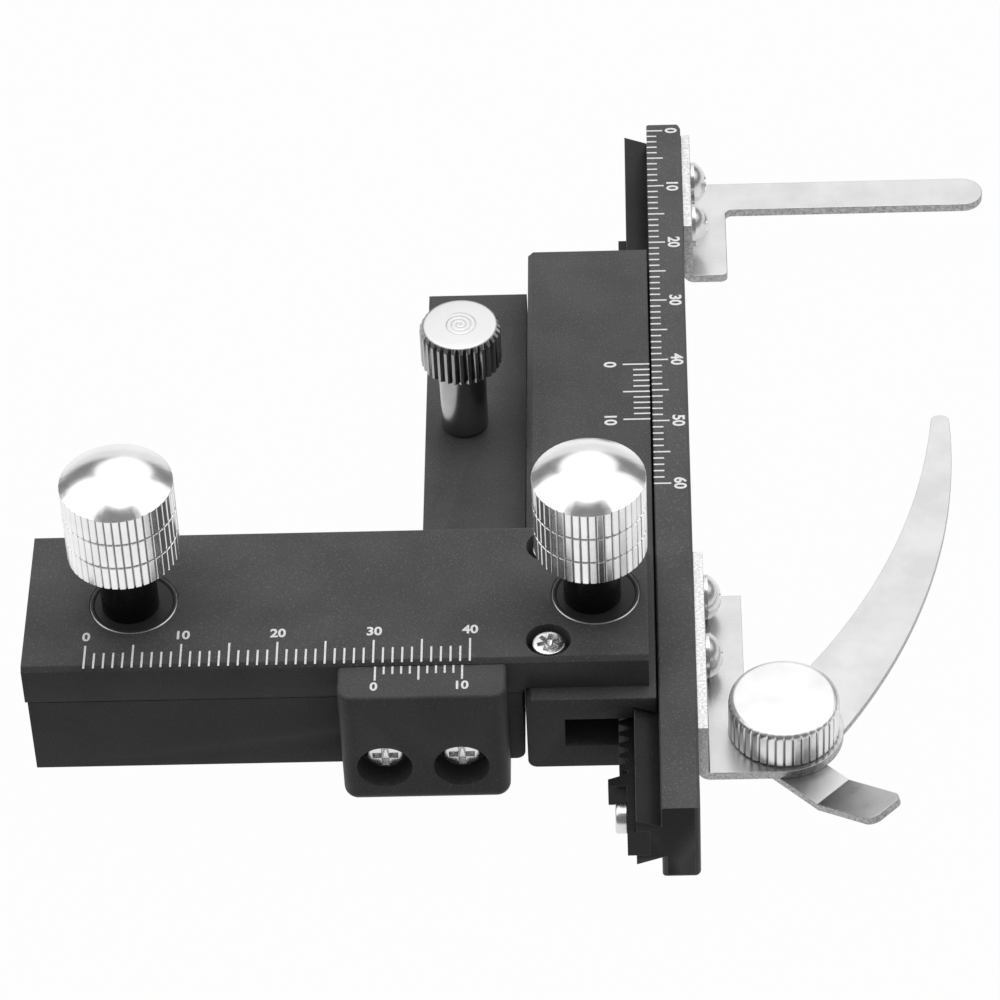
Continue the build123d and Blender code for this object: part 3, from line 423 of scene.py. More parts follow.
def makeTurnedTree():
    tree, given = startTree("turnedPiece", [
        ("Ridges", "Int"), ("Ridge Depth", "Float"), ("Crest", "Float"), ("Thread Pitch", "Float"),
        ("Thread Depth", "Float"), ("Axis", "Vector"), ("Finish", "Material")])
    size = addNode(tree, "GeometryNodeAttributeDomainSize", {0: given["Geometry"]})
    count = size.outputs["Point Count"]
    columns = calc(tree, "MULTIPLY_ADD", given["Ridges"], columnsPerRidge, 1.0)
    grid = addNode(tree, "GeometryNodeMeshGrid", {
        "Vertices X": columns, "Vertices Y": count}).outputs["Mesh"]
    index = addNode(tree, "GeometryNodeInputIndex").outputs[0]
    column = calc(tree, "FLOOR", calc(tree, "DIVIDE", calc(tree, "ADD", index, 0.5), count))
    row = calc(tree, "SUBTRACT", index, calc(tree, "MULTIPLY", column, count))

    def along(value, kind):
        return addNode(tree, "GeometryNodeSampleIndex", {
            "Geometry": given["Geometry"], "Value": value, "Index": row},
            data_type=kind).outputs[0]

    outline = along(addNode(tree, "GeometryNodeInputPosition").outputs[0], "FLOAT_VECTOR")
    named = {}
    for label in ("knurl", "thread", "shade"):
        layer = addNode(tree, "GeometryNodeInputNamedAttribute", {"Name": label},
                        data_type="FLOAT")
        named[label] = along(layer.outputs["Attribute"], "FLOAT")
    outlineRadius, _, height = addNode(tree, "ShaderNodeSeparateXYZ", {0: outline}).outputs

    # the first column of a ridge starts its crest, the second ends it, the rest cross the groove
    ridge = calc(tree, "FLOOR", calc(
        tree, "DIVIDE", calc(tree, "ADD", column, 0.5), columnsPerRidge))
    step = calc(tree, "SUBTRACT", column, calc(tree, "MULTIPLY", ridge, columnsPerRidge))
    gap = calc(tree, "SUBTRACT", 1.0, given["Crest"])
    past = calc(tree, "MAXIMUM", calc(tree, "SUBTRACT", step, 1.0), 0.0)
    share = calc(tree, "MULTIPLY_ADD", calc(tree, "MULTIPLY", past, 0.25), gap, calc(
        tree, "MULTIPLY", calc(tree, "MINIMUM", step, 1.0), given["Crest"]))
    depth = calc(tree, "SUBTRACT", 1.0, calc(tree, "ABSOLUTE", calc(
        tree, "SUBTRACT", calc(tree, "MULTIPLY", past, 0.5), 1.0)))
    depth = calc(tree, "MULTIPLY", depth, calc(tree, "GREATER_THAN", past, 0.0))
    knurl = calc(tree, "MULTIPLY", depth, given["Ridge Depth"])
    angle = calc(tree, "MULTIPLY", calc(tree, "DIVIDE", calc(
        tree, "ADD", ridge, share), given["Ridges"]), fullAngle)

    turns = calc(tree, "SUBTRACT", calc(tree, "DIVIDE", height, given["Thread Pitch"]),
                 calc(tree, "DIVIDE", angle, fullAngle))
    flank = calc(tree, "ABSOLUTE", calc(
        tree, "MULTIPLY_ADD", calc(tree, "FRACT", turns), 2.0, -1.0))
    thread = calc(tree, "MULTIPLY", flank, given["Thread Depth"])
    radius = calc(tree, "SUBTRACT", outlineRadius, calc(
        tree, "MULTIPLY", knurl, named["knurl"]))
    radius = calc(tree, "SUBTRACT", radius, calc(tree, "MULTIPLY", thread, named["thread"]))
    place = addNode(tree, "ShaderNodeCombineXYZ", {
        0: calc(tree, "MULTIPLY", radius, calc(tree, "COSINE", angle)),
        1: calc(tree, "MULTIPLY", radius, calc(tree, "SINE", angle)), 2: height}).outputs[0]
    # painted shade: the foot of each knurl groove and the outline's shaded points are marked
    # darker
    groove = calc(tree, "MAXIMUM", calc(tree, "MULTIPLY", depth, named["knurl"]), named["shade"])
    marked = addNode(tree, "GeometryNodeStoreNamedAttribute", {
        "Geometry": grid, "Name": "groove", "Value": groove}, data_type="FLOAT", domain="POINT")
    wrapped = addNode(tree, "GeometryNodeSetPosition", {
        "Geometry": marked.outputs[0], "Position": place, "Offset": given["Axis"]})
    closed = addNode(tree, "GeometryNodeMergeByDistance", {
        "Geometry": wrapped.outputs[0], "Distance": weld})
    return endTree(tree, closed.outputs[0], given["Finish"])


turnedTree = makeTurnedTree()


def turnPiece(name, outline, axis, finish, ridges, depth=0.0, crest=plainCrest, pitch=1.0,
              thread=0.0):
    # outline points are (radius, height, knurl, thread, shade), the last two 0 when left out,
    # from the bottom of the axis to its top; shade is painted shade, 1 where it is darkest
    full = [tuple(point) + (0,) * (5 - len(point)) for point in outline]
    mesh = pointMesh(name + "Outline", [(point[0], 0, point[1]) for point in full],
                     knurl=[point[2] for point in full], thread=[point[3] for point in full],
                     shade=[point[4] for point in full])
    return growPiece(name, turnedTree, mesh, {
        "Ridges": ridges, "Ridge Depth": depth * mm, "Crest": crest, "Thread Pitch": pitch * mm,
        "Thread Depth": thread * mm, "Axis": Vector(axis) * mm, "Finish": finish}, turnedSmooth)


def dome(rim, low, high, steps):
    # outline points of a shallow spherical cap, from its rim to the axis
    rise = high - low
    ball = (rim * rim + rise * rise) / (2 * rise)
    widest = math.asin(min(1.0, rim / ball))
    angles = [widest * (1 - step / steps) for step in range(steps + 1)]
    return [(ball * math.sin(angle), high - ball * (1 - math.cos(angle)), 0) for angle in angles]


# Drive knobs: three knurled tiers parted by V grooves, under a polished dome

knob = {
    "ridges": 44, "ridgeDepth": 0.22, "crest": 0.70, "footChamfer": 0.3,
    "domeRise": 1.9, "domeSteps": 12,
    "rimInset": 0.02, "rimRise": 0.01,       # where the dome starts, just past the knurl's end
    "tiers": 3, "grooveDepth": 0.32, "grooveBelow": 0.13, "grooveWall": 0.10, "grooveAbove": 0.14,
}


def makeKnob(name, node, body):
    radius, height, axis = roundBox(node)
    side = height - knob["domeRise"]
    inner = radius - knob["grooveDepth"]
    outline = [(0, 0, 0), (radius - knob["footChamfer"] - knob["ridgeDepth"], 0, 0),
               (radius, knob["footChamfer"], 1)]
    for tier in range(1, knob["tiers"]):
        groove = side * tier / knob["tiers"]
        # the inner wall of each V groove carries painted shade
        outline += [(radius, groove - knob["grooveBelow"], 1), (inner, groove, 0),
                    (inner, groove, 0, 0, 1), (inner, groove + knob["grooveWall"], 0, 0, 1),
                    (radius, groove + knob["grooveAbove"], 1)]
    outline.append((radius, side, 1))
    outline += dome(radius - knob["rimInset"], side + knob["rimRise"], height, knob["domeSteps"])
    piece = turnPiece(name, outline, axis, polishedAluminium, knob["ridges"],
                      knob["ridgeDepth"], knob["crest"])
    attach(piece, body)
    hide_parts(node)


makeKnob("leftKnob", "x_knob", "x_drive")
makeKnob("rightKnob", "y_knob", "y_drive")
print("knobs turned")


# Bushings: a black dished face inside a bare bright rim

bushing = {
    "rim": 0.13, "rimDrop": 0.10, "face": 0.35, "dish": 0.2, "footChamfer": 0.1, "columns": 16,
    "line": 0.06, "lineDepth": 0.06, "lineDrop": 0.002,    # the bright ring on the rim's chamfer
    "lineInset": 0.02, "lineOverlap": 0.01, "lineSkirt": 0.04,
}


def makeBushing(name, node):
    radius, height, axis = roundBox(node)
    inner = radius - bushing["face"]
    floor = height - bushing["dish"]
    side = height - bushing["rimDrop"]
    rimInside = radius - bushing["rim"]
    chamfer = bushing["footChamfer"]
    outline = [(0, 0, 0), (radius - chamfer, 0, 0), (radius, chamfer, 0), (radius, side, 0),
               (rimInside, height, 0), (inner, height, 0), (inner - bushing["dish"], floor, 0),
               (0, floor, 0)]
    piece = turnPiece(name, outline, axis, bushingBlack, bushing["columns"])
    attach(piece, "carriage")
    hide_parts(node)
    lineTop = height - bushing["lineDrop"]
    lineEnd = rimInside - bushing["line"]
    skirt = (radius - bushing["lineInset"], side - bushing["lineSkirt"], 0)
    ring = [skirt, (radius, side, 0), (rimInside + bushing["lineOverlap"], lineTop, 0),
            (lineEnd, lineTop, 0), (lineEnd, height - bushing["lineDepth"], 0), skirt]
    rim = turnPiece(name + "Rim", ring, axis, springSteel, bushing["columns"])
    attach(rim, "carriage")


makeBushing("leftBushing", "x_bushing")
makeBushing("rightBushing", "y_bushing")


# Clamp screw: coarse knurled head, plain shank, neck and a rolled thread to its point

clamp = {
    "headHeight": 5.3, "ridges": 32, "ridgeDepth": 0.40, "crest": 0.36,
    "headBevel": 0.65, "bevelMiddle": 0.55, "bevelDrop": 0.12, "bevelInset": 0.1,
    "underInset": 0.45, "underRise": 0.25,
    "shank": 2.6, "shankLength": 9.35, "footEdge": 0.2, "neck": 1.6,
    "thread": 1.95, "threadTop": 0.3, "threadPitch": 0.7, "threadDepth": 0.32, "point": 0.5,
    "rowsPerTurn": 8, "fadeTop": 6, "fadeFoot": 4,      # rows over which the thread runs out
}


def makeClampScrew():
    low, high = boxOf("clamp_screw")
    radius = (high.x - low.x) / 2
    foot, top = low.z, high.z
    underHead = top - clamp["headHeight"]
    shankFoot = underHead - clamp["shankLength"]
    thread, neck, shank = clamp["thread"], clamp["neck"], clamp["shank"]
    point, edge, bevel = clamp["point"], clamp["footEdge"], clamp["headBevel"]
    outline = [(0, foot, 0), (thread - point, foot, 0), (thread, foot + point, 0)]
    length = clamp["threadTop"] - foot - point
    rows = int(length / clamp["threadPitch"] * clamp["rowsPerTurn"])
    for row in range(1, rows):
        fade = min(1.0, (rows - row) / clamp["fadeTop"], row / clamp["fadeFoot"])
        outline.append((thread, foot + point + length * row / rows, 0, fade))
    outline += [
        (thread, clamp["threadTop"], 0), (neck, clamp["threadTop"], 0), (neck, shankFoot, 0),
        (shank - edge, shankFoot, 0), (shank, shankFoot + edge, 0), (shank, underHead, 0),
        (radius - clamp["underInset"], underHead, 0), (radius, underHead + clamp["underRise"], 1),
        (radius, top - bevel, 1),
        (radius - bevel * clamp["bevelMiddle"], top - clamp["bevelDrop"], 0),
        (radius - bevel - clamp["bevelInset"], top, 0), (0, top, 0)]
    piece = turnPiece("clampThumbScrew", outline, (0, 0, 0), clampAluminium, clamp["ridges"],
                      clamp["ridgeDepth"], clamp["crest"], clamp["threadPitch"],
                      clamp["threadDepth"])
    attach(piece, "clamp_screw")
    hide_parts("clamp_screw")


makeClampScrew()


# Knurled cap over the clip's spring

cap = {
    "ridges": 40, "ridgeDepth": 0.24, "crest": 0.66, "footChamfer": 0.25,
    "rim": 0.75, "rimSteps": 4, "rimFade": 0.45,       # how fast the ridges run out over the rim
    "room": 4.4, "roomHeight": 2.8, "boss": 2.1, "bossHole": 1.5, "bossGap": 0.02,
}


def makeCap():
    radius, height, axis = roundBox("clip_cap")
    rim, ceiling, gap = cap["rim"], cap["roomHeight"], cap["bossGap"]
    outline = [(0, ceiling, 0), (cap["bossHole"], ceiling, 0), (cap["bossHole"], gap, 0),
               (cap["boss"], gap, 0), (cap["boss"], ceiling, 0), (cap["room"], ceiling, 0),
               (cap["room"], 0, 0), (radius - cap["footChamfer"] - cap["ridgeDepth"], 0, 0),
               (radius, cap["footChamfer"], 1), (radius, height - rim, 1)]
    for step in range(1, cap["rimSteps"] + 1):
        angle = math.pi / 2 * step / cap["rimSteps"]
        outline.append((radius - rim + rim * math.cos(angle), height - rim + rim * math.sin(angle),
                        max(0.0, 1 - step * cap["rimFade"])))
    outline.append((0, height, 0))
    piece = turnPiece("springCap", outline, axis, capAluminium, cap["ridges"],
                      cap["ridgeDepth"], cap["crest"])
    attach(piece, "clip")
    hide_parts("clip_cap")


makeCap()
print("clamp screw and cap turned")


# Screws: a turned head and shank with a cross or a star recess cut into it, set at each place

def makeScrewTree():
    tree, given = startTree("setScrews", [
        ("Head", "Object"), ("Recess", "Object"), ("Turn", "Vector"), ("Finish", "Material")])
    head = addNode(tree, "GeometryNodeObjectInfo", {"Object": given["Head"]})
    recess = addNode(tree, "GeometryNodeObjectInfo", {"Object": given["Recess"]})
    cut = addNode(tree, "GeometryNodeMeshBoolean", {
        0: head.outputs["Geometry"], 1: recess.outputs["Geometry"]},
        operation="DIFFERENCE", solver="MANIFOLD")
    placed = addNode(tree, "GeometryNodeInstanceOnPoints", {
        "Points": given["Geometry"], "Instance": cut.outputs["Mesh"], "Rotation": given["Turn"]})
    return endTree(tree, placed.outputs[0], given["Finish"])


screwTree = makeScrewTree()

screws = {
    # node: piece; head radius, height, and straight part or 0 for a flat head; shank radius and
    #       length; recess arms, half width, half span and depth; its spin in degrees; the way
    #       that the head faces; body
    "finger_bracket_screws": {
        "piece": "fingerPanScrews", "head": (2.45, 1.9, 0.45), "shank": (1.2, 3.9),
        "recess": (4, 0.30, 1.25, 1.2), "spin": 20, "faces": "+X", "body": "slide_bar"},
    "clip_bracket_screws": {
        "piece": "clipPanScrews", "head": (2.45, 1.9, 0.45), "shank": (1.2, 3.9),
        "recess": (4, 0.30, 1.25, 1.2), "spin": 35, "faces": "+X", "body": "slide_bar"},
    "vernier_block_screws": {
        "piece": "vernierScrews", "head": (1.95, 1.4, 0), "shank": (1.2, 5.4),
        "recess": (4, 0.40, 1.40, 1.0), "spin": 0, "faces": "-Y", "body": "base"},
    "beam_screws": {
        "piece": "beamScrews", "head": (1.75, 2.25, 0), "shank": (1.0, 6.2),
        "recess": (6, 0.26, 1.25, 0.9), "spin": 15, "faces": "+Z", "body": "carriage"},
    "y_rack_screws": {
        "piece": "longRackScrews", "head": (1.6, 1.2, 0), "shank": (0.7, 4.9),
        "recess": (4, 0.22, 0.95, 0.6), "spin": 10, "faces": "-X", "body": "slide_bar"},
}
screwForm = {
    "columns": 9, "domeSteps": 8, "shankChamfer": 0.15, "underChamfer": 0.06,
    "flatEdge": ((0, 0.22), (0.08, 0.08), (0.24, 0)),    # in from the side, down from the top
    # height over the head's top, share of the recess's depth, and width of each loop
    "recessLoops": ((0.5, 0.0, 1.06), (0.0, 0.7, 0.82), (0.0, 1.0, 0.35)),
}
screwTurns = {"+X": (0, math.pi / 2, 0), "-X": (0, -math.pi / 2, 0), "-Y": (math.pi / 2, 0, 0),
              "+Z": (0, 0, 0)}


def recessCutter(name, recess, top, spin):
    # a tapered star that stands a little above the head it is cut into
    arms, halfWidth, halfSpan, depth = recess
    inner = halfWidth / math.sin(math.pi / arms)
    outer = math.hypot(halfWidth, halfSpan)
    across = math.atan2(halfWidth, halfSpan)
    corners = []
    for arm in range(arms):
        middle = fullAngle * arm / arms + math.radians(spin)
        corners += [(outer, middle - across), (outer, middle + across),
                    (inner, middle + math.pi / arms)]
    shape = bmesh.new()
    loops = []
    for over, share, scale in screwForm["recessLoops"]:
        height = (top + over - depth * share) * mm
        loops.append([shape.verts.new((
            radius * scale * math.cos(angle) * mm, radius * scale * math.sin(angle) * mm, height))
            for radius, angle in corners])
    shape.faces.new(loops[0])
    shape.faces.new(list(reversed(loops[-1])))
    for upper, lower in zip(loops, loops[1:]):
        for side in range(len(corners)):
            after = (side + 1) % len(corners)
            shape.faces.new((upper[side], lower[side], lower[after], upper[after]))
    bmesh.ops.recalc_face_normals(shape, faces=shape.faces)
    return linkObject(name, meshFrom(name, shape))


def screwOutline(radius, height, straight, shank, length):
    chamfer, under = screwForm["shankChamfer"], screwForm["underChamfer"]
    outline = [(0, -length, 0), (shank - chamfer, -length, 0), (shank, -length + chamfer, 0),
               (shank, 0, 0), (radius - under, 0, 0), (radius, under, 0)]
    if straight:
        return outline + dome(radius, straight, height, screwForm["domeSteps"])
    outline += [(radius - inset, height - drop, 0) for inset, drop in screwForm["flatEdge"]]
    return outline + [(0, height, 0)]


def makeScrews(node, look):
    low, high = boxOf(node)
    radius, height, straight = look["head"]
    outline = screwOutline(radius, height, straight, *look["shank"])
    head = turnPiece(look["piece"] + "Head", outline, (0, 0, 0), platedScrew,
                     screwForm["columns"])
    cutter = recessCutter(look["piece"] + "Recess", look["recess"], height, look["spin"])

    # the heads stand at the end of the box that they face
    way = look["faces"]
    across = "XYZ".index(way[1])
    foot = high[across] - height if way[0] == "+" else low[across] + height
    middle = (low + high) / 2
    others = [axis for axis in range(3) if axis != across]
    longest = max(others, key=lambda axis: high[axis] - low[axis])
    reach = (high[longest] - low[longest]) / 2 - radius
    places = []
    for side in (-1, 1):
        place = middle.copy()
        place[across] = foot
        place[longest] = middle[longest] + side * reach
        places.append(tuple(place))
    points = pointMesh(look["piece"] + "Places", places)
    piece = growPiece(look["piece"], screwTree, points, {
        "Head": head, "Recess": cutter, "Turn": screwTurns[way], "Finish": platedScrew})
    bpy.data.objects.remove(head)
    bpy.data.objects.remove(cutter)
    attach(piece, look["body"])
    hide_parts(node)


for node, look in screws.items():
    makeScrews(node, look)
print("screws set")


# Coil spring under the cap

spring = {"turns": 3.5, "radius": 3.2, "wire": 0.3, "stepsPerTurn": 32, "wireSides": 12,
          "smooth": 60.0}


def makeSpringTree():
    tree, given = startTree("coilSpring", [
        ("Turns", "Float"), ("Radius", "Float"), ("Wire", "Float"), ("Height", "Float"),
        ("Place", "Vector"), ("Finish", "Material")])
    coil = addNode(tree, "GeometryNodeCurveSpiral", {
        "Resolution": spring["stepsPerTurn"], "Rotations": given["Turns"],
        "Start Radius": given["Radius"], "End Radius": given["Radius"],
        "Height": given["Height"]})
    wire = addNode(tree, "GeometryNodeCurvePrimitiveCircle", {
        "Resolution": spring["wireSides"], "Radius": given["Wire"]})
    tube = addNode(tree, "GeometryNodeCurveToMesh", {
        "Curve": coil.outputs[0], "Profile Curve": wire.outputs[0], "Fill Caps": True})
    placed = addNode(tree, "GeometryNodeTransform", {
        "Geometry": tube.outputs[0], "Translation": given["Place"]})
    return endTree(tree, placed.outputs[0], given["Finish"])


def makeSpring():
    low, high = boxOf("clip_spring")
    middle = (low + high) / 2
    wire = spring["wire"]
    place = Vector((middle.x, middle.y, low.z + wire))
    start = pointMesh("springPlace", [(0, 0, 0)])
    piece = growPiece("pressureSpring", makeSpringTree(), start, {
        "Turns": spring["turns"], "Radius": spring["radius"] * mm, "Wire": wire * mm,
        "Height": (high.z - low.z - 2 * wire) * mm, "Place": place * mm,
        "Finish": springSteel}, spring["smooth"])
    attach(piece, "slide_bar")
    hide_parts("clip_spring")


makeSpring()
print("spring wound")


# Bodies from bars and sheets: the CAD shape with its edges broken

broken = {
    # node: piece, width of the broken edges, material, slot, body
    "base": ("clampBase", 0.12, bodyBlack, "black_anodised", "base"),
    "vernier_block": ("vernierBlock", 0.15, bodyBlack, "black_anodised", "base"),
    "arm_beam": ("beam", 0.12, bodyBlack, "black_anodised", "carriage"),
    "column_housing": ("columnHousing", 0.12, bodyBlack, "black_anodised", "carriage"),
    "slide_bar": ("scaleBar", 0.08, barBlack, "black_anodised", "slide_bar"),
    "finger_bracket": ("fingerBracket", 0.10, platedSheet, "plated_sheet", "slide_bar"),
    "clip_bracket": ("clipBracket", 0.10, platedSheet, "plated_sheet", "slide_bar"),
    "clip_horn": ("clipHorn", 0.10, platedSheet, "plated_sheet", "clip"),
}
breaking = {
    "angle": 38.0,         # only edges sharper than this are broken
    "flatAngle": 0.3,      # faces this close to one plane are joined first
    "segments": 2, "profile": 0.6,
    "bodySmooth": 35.0, "sheetSmooth": 14.0,
}
sheet = {
    "cutRim": 0.15,        # a bracket's cut top edge is this near to its highest point
    "flangeStart": 2.0,    # its flange begins this far from the bar
    "facing": 0.5,         # a face whose normal has more than this of an axis looks along it
}
bar = {
    "width": 3.95,         # of the slide bar without its dovetail
    "margin": 0.1,         # faces further out than this have the dovetail's darker finish, partly painted shade
}


def sheetSlot(node, normal, centre, low, high):
    # 0 on the two sides of a sheet, 1 on its sheared edge, 2 on a bracket's cut top, which is
    # painted lighter as a painted highlight
    facing = sheet["facing"]
    if node == "clip_horn":
        return int(abs(normal.z) < facing)
    if normal.z > facing and centre.z > high.z - sheet["cutRim"]:
        return 2
    onFlange = normal.x > facing and centre.x > low.x + sheet["flangeStart"]
    return int(abs(normal.y) > facing or onFlange)


def breakEdges(node, name, width, finish):
    shape = bmesh.new()
    shape.from_mesh(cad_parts[node].data)
    bmesh.ops.remove_doubles(shape, verts=shape.verts, dist=weld)
    bmesh.ops.dissolve_degenerate(shape, edges=shape.edges, dist=weld)
    bmesh.ops.dissolve_limit(shape, angle_limit=math.radians(breaking["flatAngle"]),
                             verts=shape.verts, edges=shape.edges)
    mesh = meshFrom(name, shape)
    mesh.materials.append(finish)
    draft = linkObject(name + "Draft", mesh)
    bevel = draft.modifiers.new("brokenEdges", "BEVEL")
    bevel.width, bevel.segments, bevel.limit_method = width * mm, breaking["segments"], "ANGLE"
    bevel.angle_limit, bevel.profile = math.radians(breaking["angle"]), breaking["profile"]
    bevel.use_clamp_overlap = True
    bevel.miter_outer = "MITER_SHARP"
    return bakeMesh(draft)


def makeBroken(node, name, width, finish, slotName, body):
    mesh = breakEdges(node, name, width, finish)
    isSheet = slotName == "plated_sheet"
    piece = finishPiece(name, mesh, breaking["sheetSmooth" if isSheet else "bodySmooth"])
    low, high = boxOf(node)
    if isSheet:
        mesh.materials.append(cutSheetEdge)
        mesh.materials.append(sheetRim)
        for face in mesh.polygons:
            face.material_index = sheetSlot(node, face.normal, face.center / mm, low, high)
    if node == "slide_bar":
        mesh.materials.append(dovetailBlack)
        barSide = high.x - bar["width"] - bar["margin"]
        for face in mesh.polygons:
            face.material_index = int(face.center.x / mm < barSide)
    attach(piece, body)
    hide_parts(node)


for node, settings in broken.items():
    makeBroken(node, *settings)
print("bar and sheet bodies made")


# Scale marks: ticks by Geometry Nodes, digits from text

def makeTickTree():
    tree, given = startTree("scaleTicks", [
        ("Count", "Int"), ("Spacing", "Float"), ("Width", "Float"), ("Thickness", "Float"),
        ("Short", "Float"), ("Middle", "Float"), ("Long", "Float"), ("Middle Every", "Int"),
        ("Long Every", "Int"), ("Turn", "Vector"), ("Place", "Vector"), ("Finish", "Material")])
    step = addNode(tree, "ShaderNodeCombineXYZ", {0: given["Spacing"]}).outputs[0]
    line = addNode(tree, "GeometryNodeMeshLine", {"Count": given["Count"], "Offset": step})
    brick = addNode(tree, "GeometryNodeMeshCube", {"Size": (1, 1, 1)})
    brick = addNode(tree, "GeometryNodeTransform", {
        "Geometry": brick.outputs["Mesh"], "Translation": (0, 0.5, 0)})
    index = addNode(tree, "GeometryNodeInputIndex").outputs[0]

    def whenEvery(count, yes, no):
        hit = calc(tree, "LESS_THAN", calc(tree, "MODULO", index, count), 0.5)
        return calc(tree, "MULTIPLY_ADD", calc(tree, "SUBTRACT", yes, no), hit, no)

    length = whenEvery(given["Long Every"], given["Long"], whenEvery(
        given["Middle Every"], given["Middle"], given["Short"]))
    size = addNode(tree, "ShaderNodeCombineXYZ", {
        0: given["Width"], 1: length, 2: given["Thickness"]}).outputs[0]
    ticks = addNode(tree, "GeometryNodeInstanceOnPoints", {
        "Points": line.outputs[0], "Instance": brick.outputs[0], "Scale": size})
    placed = addNode(tree, "GeometryNodeTransform", {
        "Geometry": ticks.outputs[0], "Translation": given["Place"], "Rotation": given["Turn"]})
    return endTree(tree, placed.outputs[0], given["Finish"])


tickTree = makeTickTree()
marks = {"width": 0.21, "thickness": 0.04, "digitBold": 0.03}
beamTop = boxOf("arm_beam")[1].z
beamFront = boxOf("arm_beam")[0].y
vernierTop = boxOf("vernier_block")[1].z
barTop = boxOf("slide_bar")[1].z
barLeft = boxOf("slide_bar")[1].x - bar["width"]
housingTop = boxOf("column_housing")[1].z
housingRight = boxOf("column_housing")[1].x
beamZero = -38.5         # X of the beam's first mark
barZero = 42.9           # Y of the bar's first mark

scales = {
    # count and spacing of the ticks; lengths short, middle and long; how often a middle and a
    # long one comes; turn in degrees; place of the first; digits (text, x, y), height and turn
    "beamScale": {
        "count": 41, "spacing": 1.0, "lengths": (2.2, 3.3, 3.3), "every": (5, 10), "turn": 0,
        "place": (beamZero, beamFront, beamTop), "body": "carriage",
        "digitHeight": 1.25, "digitTurn": 0,
        "digits": [(str(mark), mark + beamZero, beamFront + 4.6) for mark in range(0, 41, 10)]},
    "vernierScale": {
        "count": 11, "spacing": 0.9, "lengths": (1.1, 2.0, 2.0), "every": (5, 10), "turn": 180,
        "place": (0.7, beamFront - 0.1, vernierTop), "body": "base",
        "digitHeight": 1.2, "digitTurn": 0,
        "digits": [("0", -8.4, beamFront - 2.95), ("10", 0.6, beamFront - 2.95)]},
    "barScale": {
        "count": 61, "spacing": 1.0, "lengths": (1.15, 1.85, 1.85), "every": (5, 10), "turn": -90,
        "place": (barLeft, barZero, barTop), "body": "slide_bar",
        "digitHeight": 1.4, "digitTurn": -90,
        "digits": [(str(mark), barLeft + 2.85, barZero - mark) for mark in range(0, 61, 10)]},
    "housingScale": {
        "count": 11, "spacing": 0.9, "lengths": (1.8, 2.95, 2.95), "every": (5, 10), "turn": 90,
        "place": (housingRight, -6.5, housingTop), "body": "carriage",
        "digitHeight": 1.4, "digitTurn": -90,
        "digits": [("0", 16.3, 2.5), ("10", 16.3, -6.5)]},
}


def flatDigit(name, text, height, turn):
    # one number as a flat mesh of this height, centred on the origin
    curve = bpy.data.curves.new(name, "FONT")
    curve.body, curve.align_x, curve.align_y = text, "CENTER", "CENTER"
    curve.size, curve.extrude, curve.offset = 1.0, 0.0, marks["digitBold"]
    flat = bakeMesh(linkObject(name, curve))
    lowest = min(vertex.co.y for vertex in flat.vertices)
    highest = max(vertex.co.y for vertex in flat.vertices)
    size = height / (highest - lowest)
    flat.transform(Matrix.Translation((0, -(highest + lowest) / 2, 0)))
    flat.transform(Matrix.Scale(size * mm, 4))
    flat.transform(Matrix.Rotation(math.radians(turn), 4, "Z"))
    return flat


def makeDigits(name, scale, top):
    shape = bmesh.new()
    for text, x, y in scale["digits"]:
        flat = flatDigit(name + text, text, scale["digitHeight"], scale["digitTurn"])
        flat.transform(Matrix.Translation(Vector((x, y, top - marks["thickness"] / 2)) * mm))
        shape.from_mesh(flat)
    faces = bmesh.ops.extrude_face_region(shape, geom=shape.faces[:])["geom"]
    raised = [item for item in faces if isinstance(item, bmesh.types.BMVert)]
    bmesh.ops.translate(shape, verts=raised, vec=(0, 0, marks["thickness"] * mm))
    mesh = meshFrom(name, shape)
    mesh.materials.append(markPaint)
    return finishPiece(name, mesh, plainSmooth)


for name, scale in scales.items():
    short, middle, long = scale["lengths"]
    middleEvery, longEvery = scale["every"]
    ticks = growPiece(name + "Ticks", tickTree, pointMesh(name, [(0, 0, 0)]), {
        "Count": scale["count"], "Spacing": scale["spacing"] * mm, "Width": marks["width"] * mm,
        "Thickness": marks["thickness"] * mm, "Short": short * mm, "Middle": middle * mm,
        "Long": long * mm, "Middle Every": middleEvery, "Long Every": longEvery,
        "Turn": (0.0, 0.0, math.radians(scale["turn"])), "Place": Vector(scale["place"]) * mm,
        "Finish": markPaint})
    digits = makeDigits(name + "Digits", scale, scale["place"][2])
    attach(ticks, scale["body"])
    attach(digits, scale["body"])
print("scales marked")


# Finishes of the CAD nodes that stay

finishOfNode = {
    "x_rack": turnedBlack, "y_rack": turnedBlack, "x_shaft": turnedBlack, "y_shaft": turnedBlack,
    "x_pinion": brassPinion, "y_pinion": brassPinion,
}
for name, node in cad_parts.items():
    node.data.materials.clear()
    node.data.materials.append(finishOfNode.get(name, platedScrew))
print("finishes given to the CAD nodes")


# Floor, light and camera

studio = {
    "floorSize": 4.0,
    "floorGlow": 0.985,    # share of plain white that the camera and reflections see
    "floorColour": 0.11,
    "floorRough": 0.8,
    "skyLow": 0.86,        # world at the horizon
    "skyHigh": 0.20,       # and above its band
    "skyBand": (0.0, 0.12),
    "backdrop": 0.42,      # how much higher the pale band reaches behind the object
    "backdropFocus": 8.0,  # and how narrow that part is
    "lights": [
        # name, place, size, power
        ("backSoftbox", (0.0, 0.75, 0.75), 0.95, 2.35),
        ("topSoftbox", (0.0, 0.14, 1.05), 0.66, 1.85),
        ("leftSoftbox", (-0.66, 0.17, 0.84), 1.1, 3.5),
        ("rightSoftbox", (0.66, 0.17, 0.84), 1.1, 3.5),
    ],
    "lightsAim": (0.0, 0.0, 0.0),
    "cameraPlace": (20.59, -401.94, 374.26),
    "cameraTurn": (46.4715, 2.1112, 0.4391),
    "cameraRange": (0.01, 20.0),
    "sensor": 36.0,
    "lens": 176.336,
}


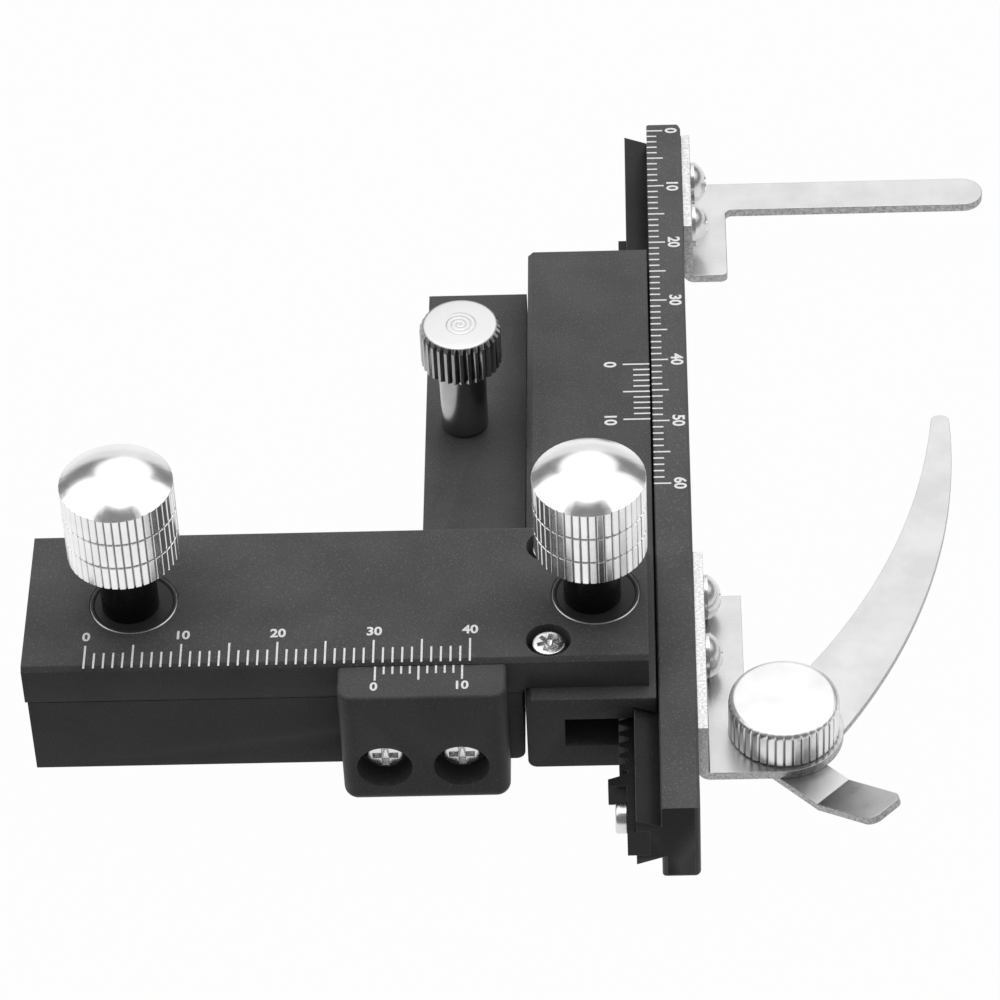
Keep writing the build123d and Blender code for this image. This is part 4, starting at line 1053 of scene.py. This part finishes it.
def makeFloor():
    half = studio["floorSize"] / 2
    low = cadBox[0].z
    corners = [(-half, -half, low), (half, -half, low), (half, half, low), (-half, half, low)]
    mesh = bpy.data.meshes.new("floor")
    mesh.from_pydata(corners, [], [(0, 1, 2, 3)])
    floor = linkObject("floor", mesh)
    material, tree, shader = startMaterial("paleFloor")
    plug(tree, shader, {
        "Base Color": grey(studio["floorColour"]), "Roughness": studio["floorRough"]})
    glow = addNode(tree, "ShaderNodeEmission", {"Color": grey(1), "Strength": 1.0})
    rays = addNode(tree, "ShaderNodeLightPath").outputs
    seen = calc(tree, "MAXIMUM", rays["Is Camera Ray"], calc(
        tree, "MAXIMUM", rays["Is Glossy Ray"], rays["Is Transmission Ray"]))
    share = calc(tree, "MULTIPLY", seen, studio["floorGlow"])
    surface = addNode(tree, "ShaderNodeMixShader", {
        0: share, 1: shader.outputs[0], 2: glow.outputs[0]})
    plug(tree, tree.nodes["Material Output"], {"Surface": surface.outputs[0]})
    mesh.materials.append(material)


def makeLights():
    for name, place, size, power in studio["lights"]:
        light = bpy.data.lights.new(name, "AREA")
        light.shape, light.size, light.energy = "DISK", size, power
        lamp = linkObject(name, light)
        lamp.location = place
        aim = Vector(studio["lightsAim"]) - Vector(place)
        lamp.rotation_euler = aim.to_track_quat("-Z", "Y").to_euler()


def makeSky():
    world = bpy.data.worlds.new("studio")
    bpy.context.scene.world = world
    world.use_nodes = True
    tree = world.node_tree
    direction = addNode(tree, "ShaderNodeTexCoord").outputs["Generated"]
    way = addNode(tree, "ShaderNodeSeparateXYZ", {0: direction}).outputs
    behind = calc(tree, "POWER", calc(tree, "MAXIMUM", way[1], 0.0), studio["backdropFocus"])
    height = calc(tree, "SUBTRACT", way[2], calc(tree, "MULTIPLY", behind, studio["backdrop"]))
    strength = spread(tree, height, studio["skyLow"], studio["skyHigh"], *studio["skyBand"])
    plug(tree, tree.nodes["Background"], {"Color": grey(1), "Strength": strength})


def makeCamera():
    data = bpy.data.cameras.new("camera")
    data.lens, data.sensor_width = studio["lens"], studio["sensor"]
    data.clip_start, data.clip_end = studio["cameraRange"]
    camera = linkObject("camera", data)
    camera.location = Vector(studio["cameraPlace"]) * mm
    camera.rotation_euler = Euler([math.radians(turn) for turn in studio["cameraTurn"]])
    bpy.context.scene.camera = camera


makeFloor()
makeLights()
makeSky()
makeCamera()
bpy.context.scene.view_settings.view_transform = "Standard"
print("studio made")
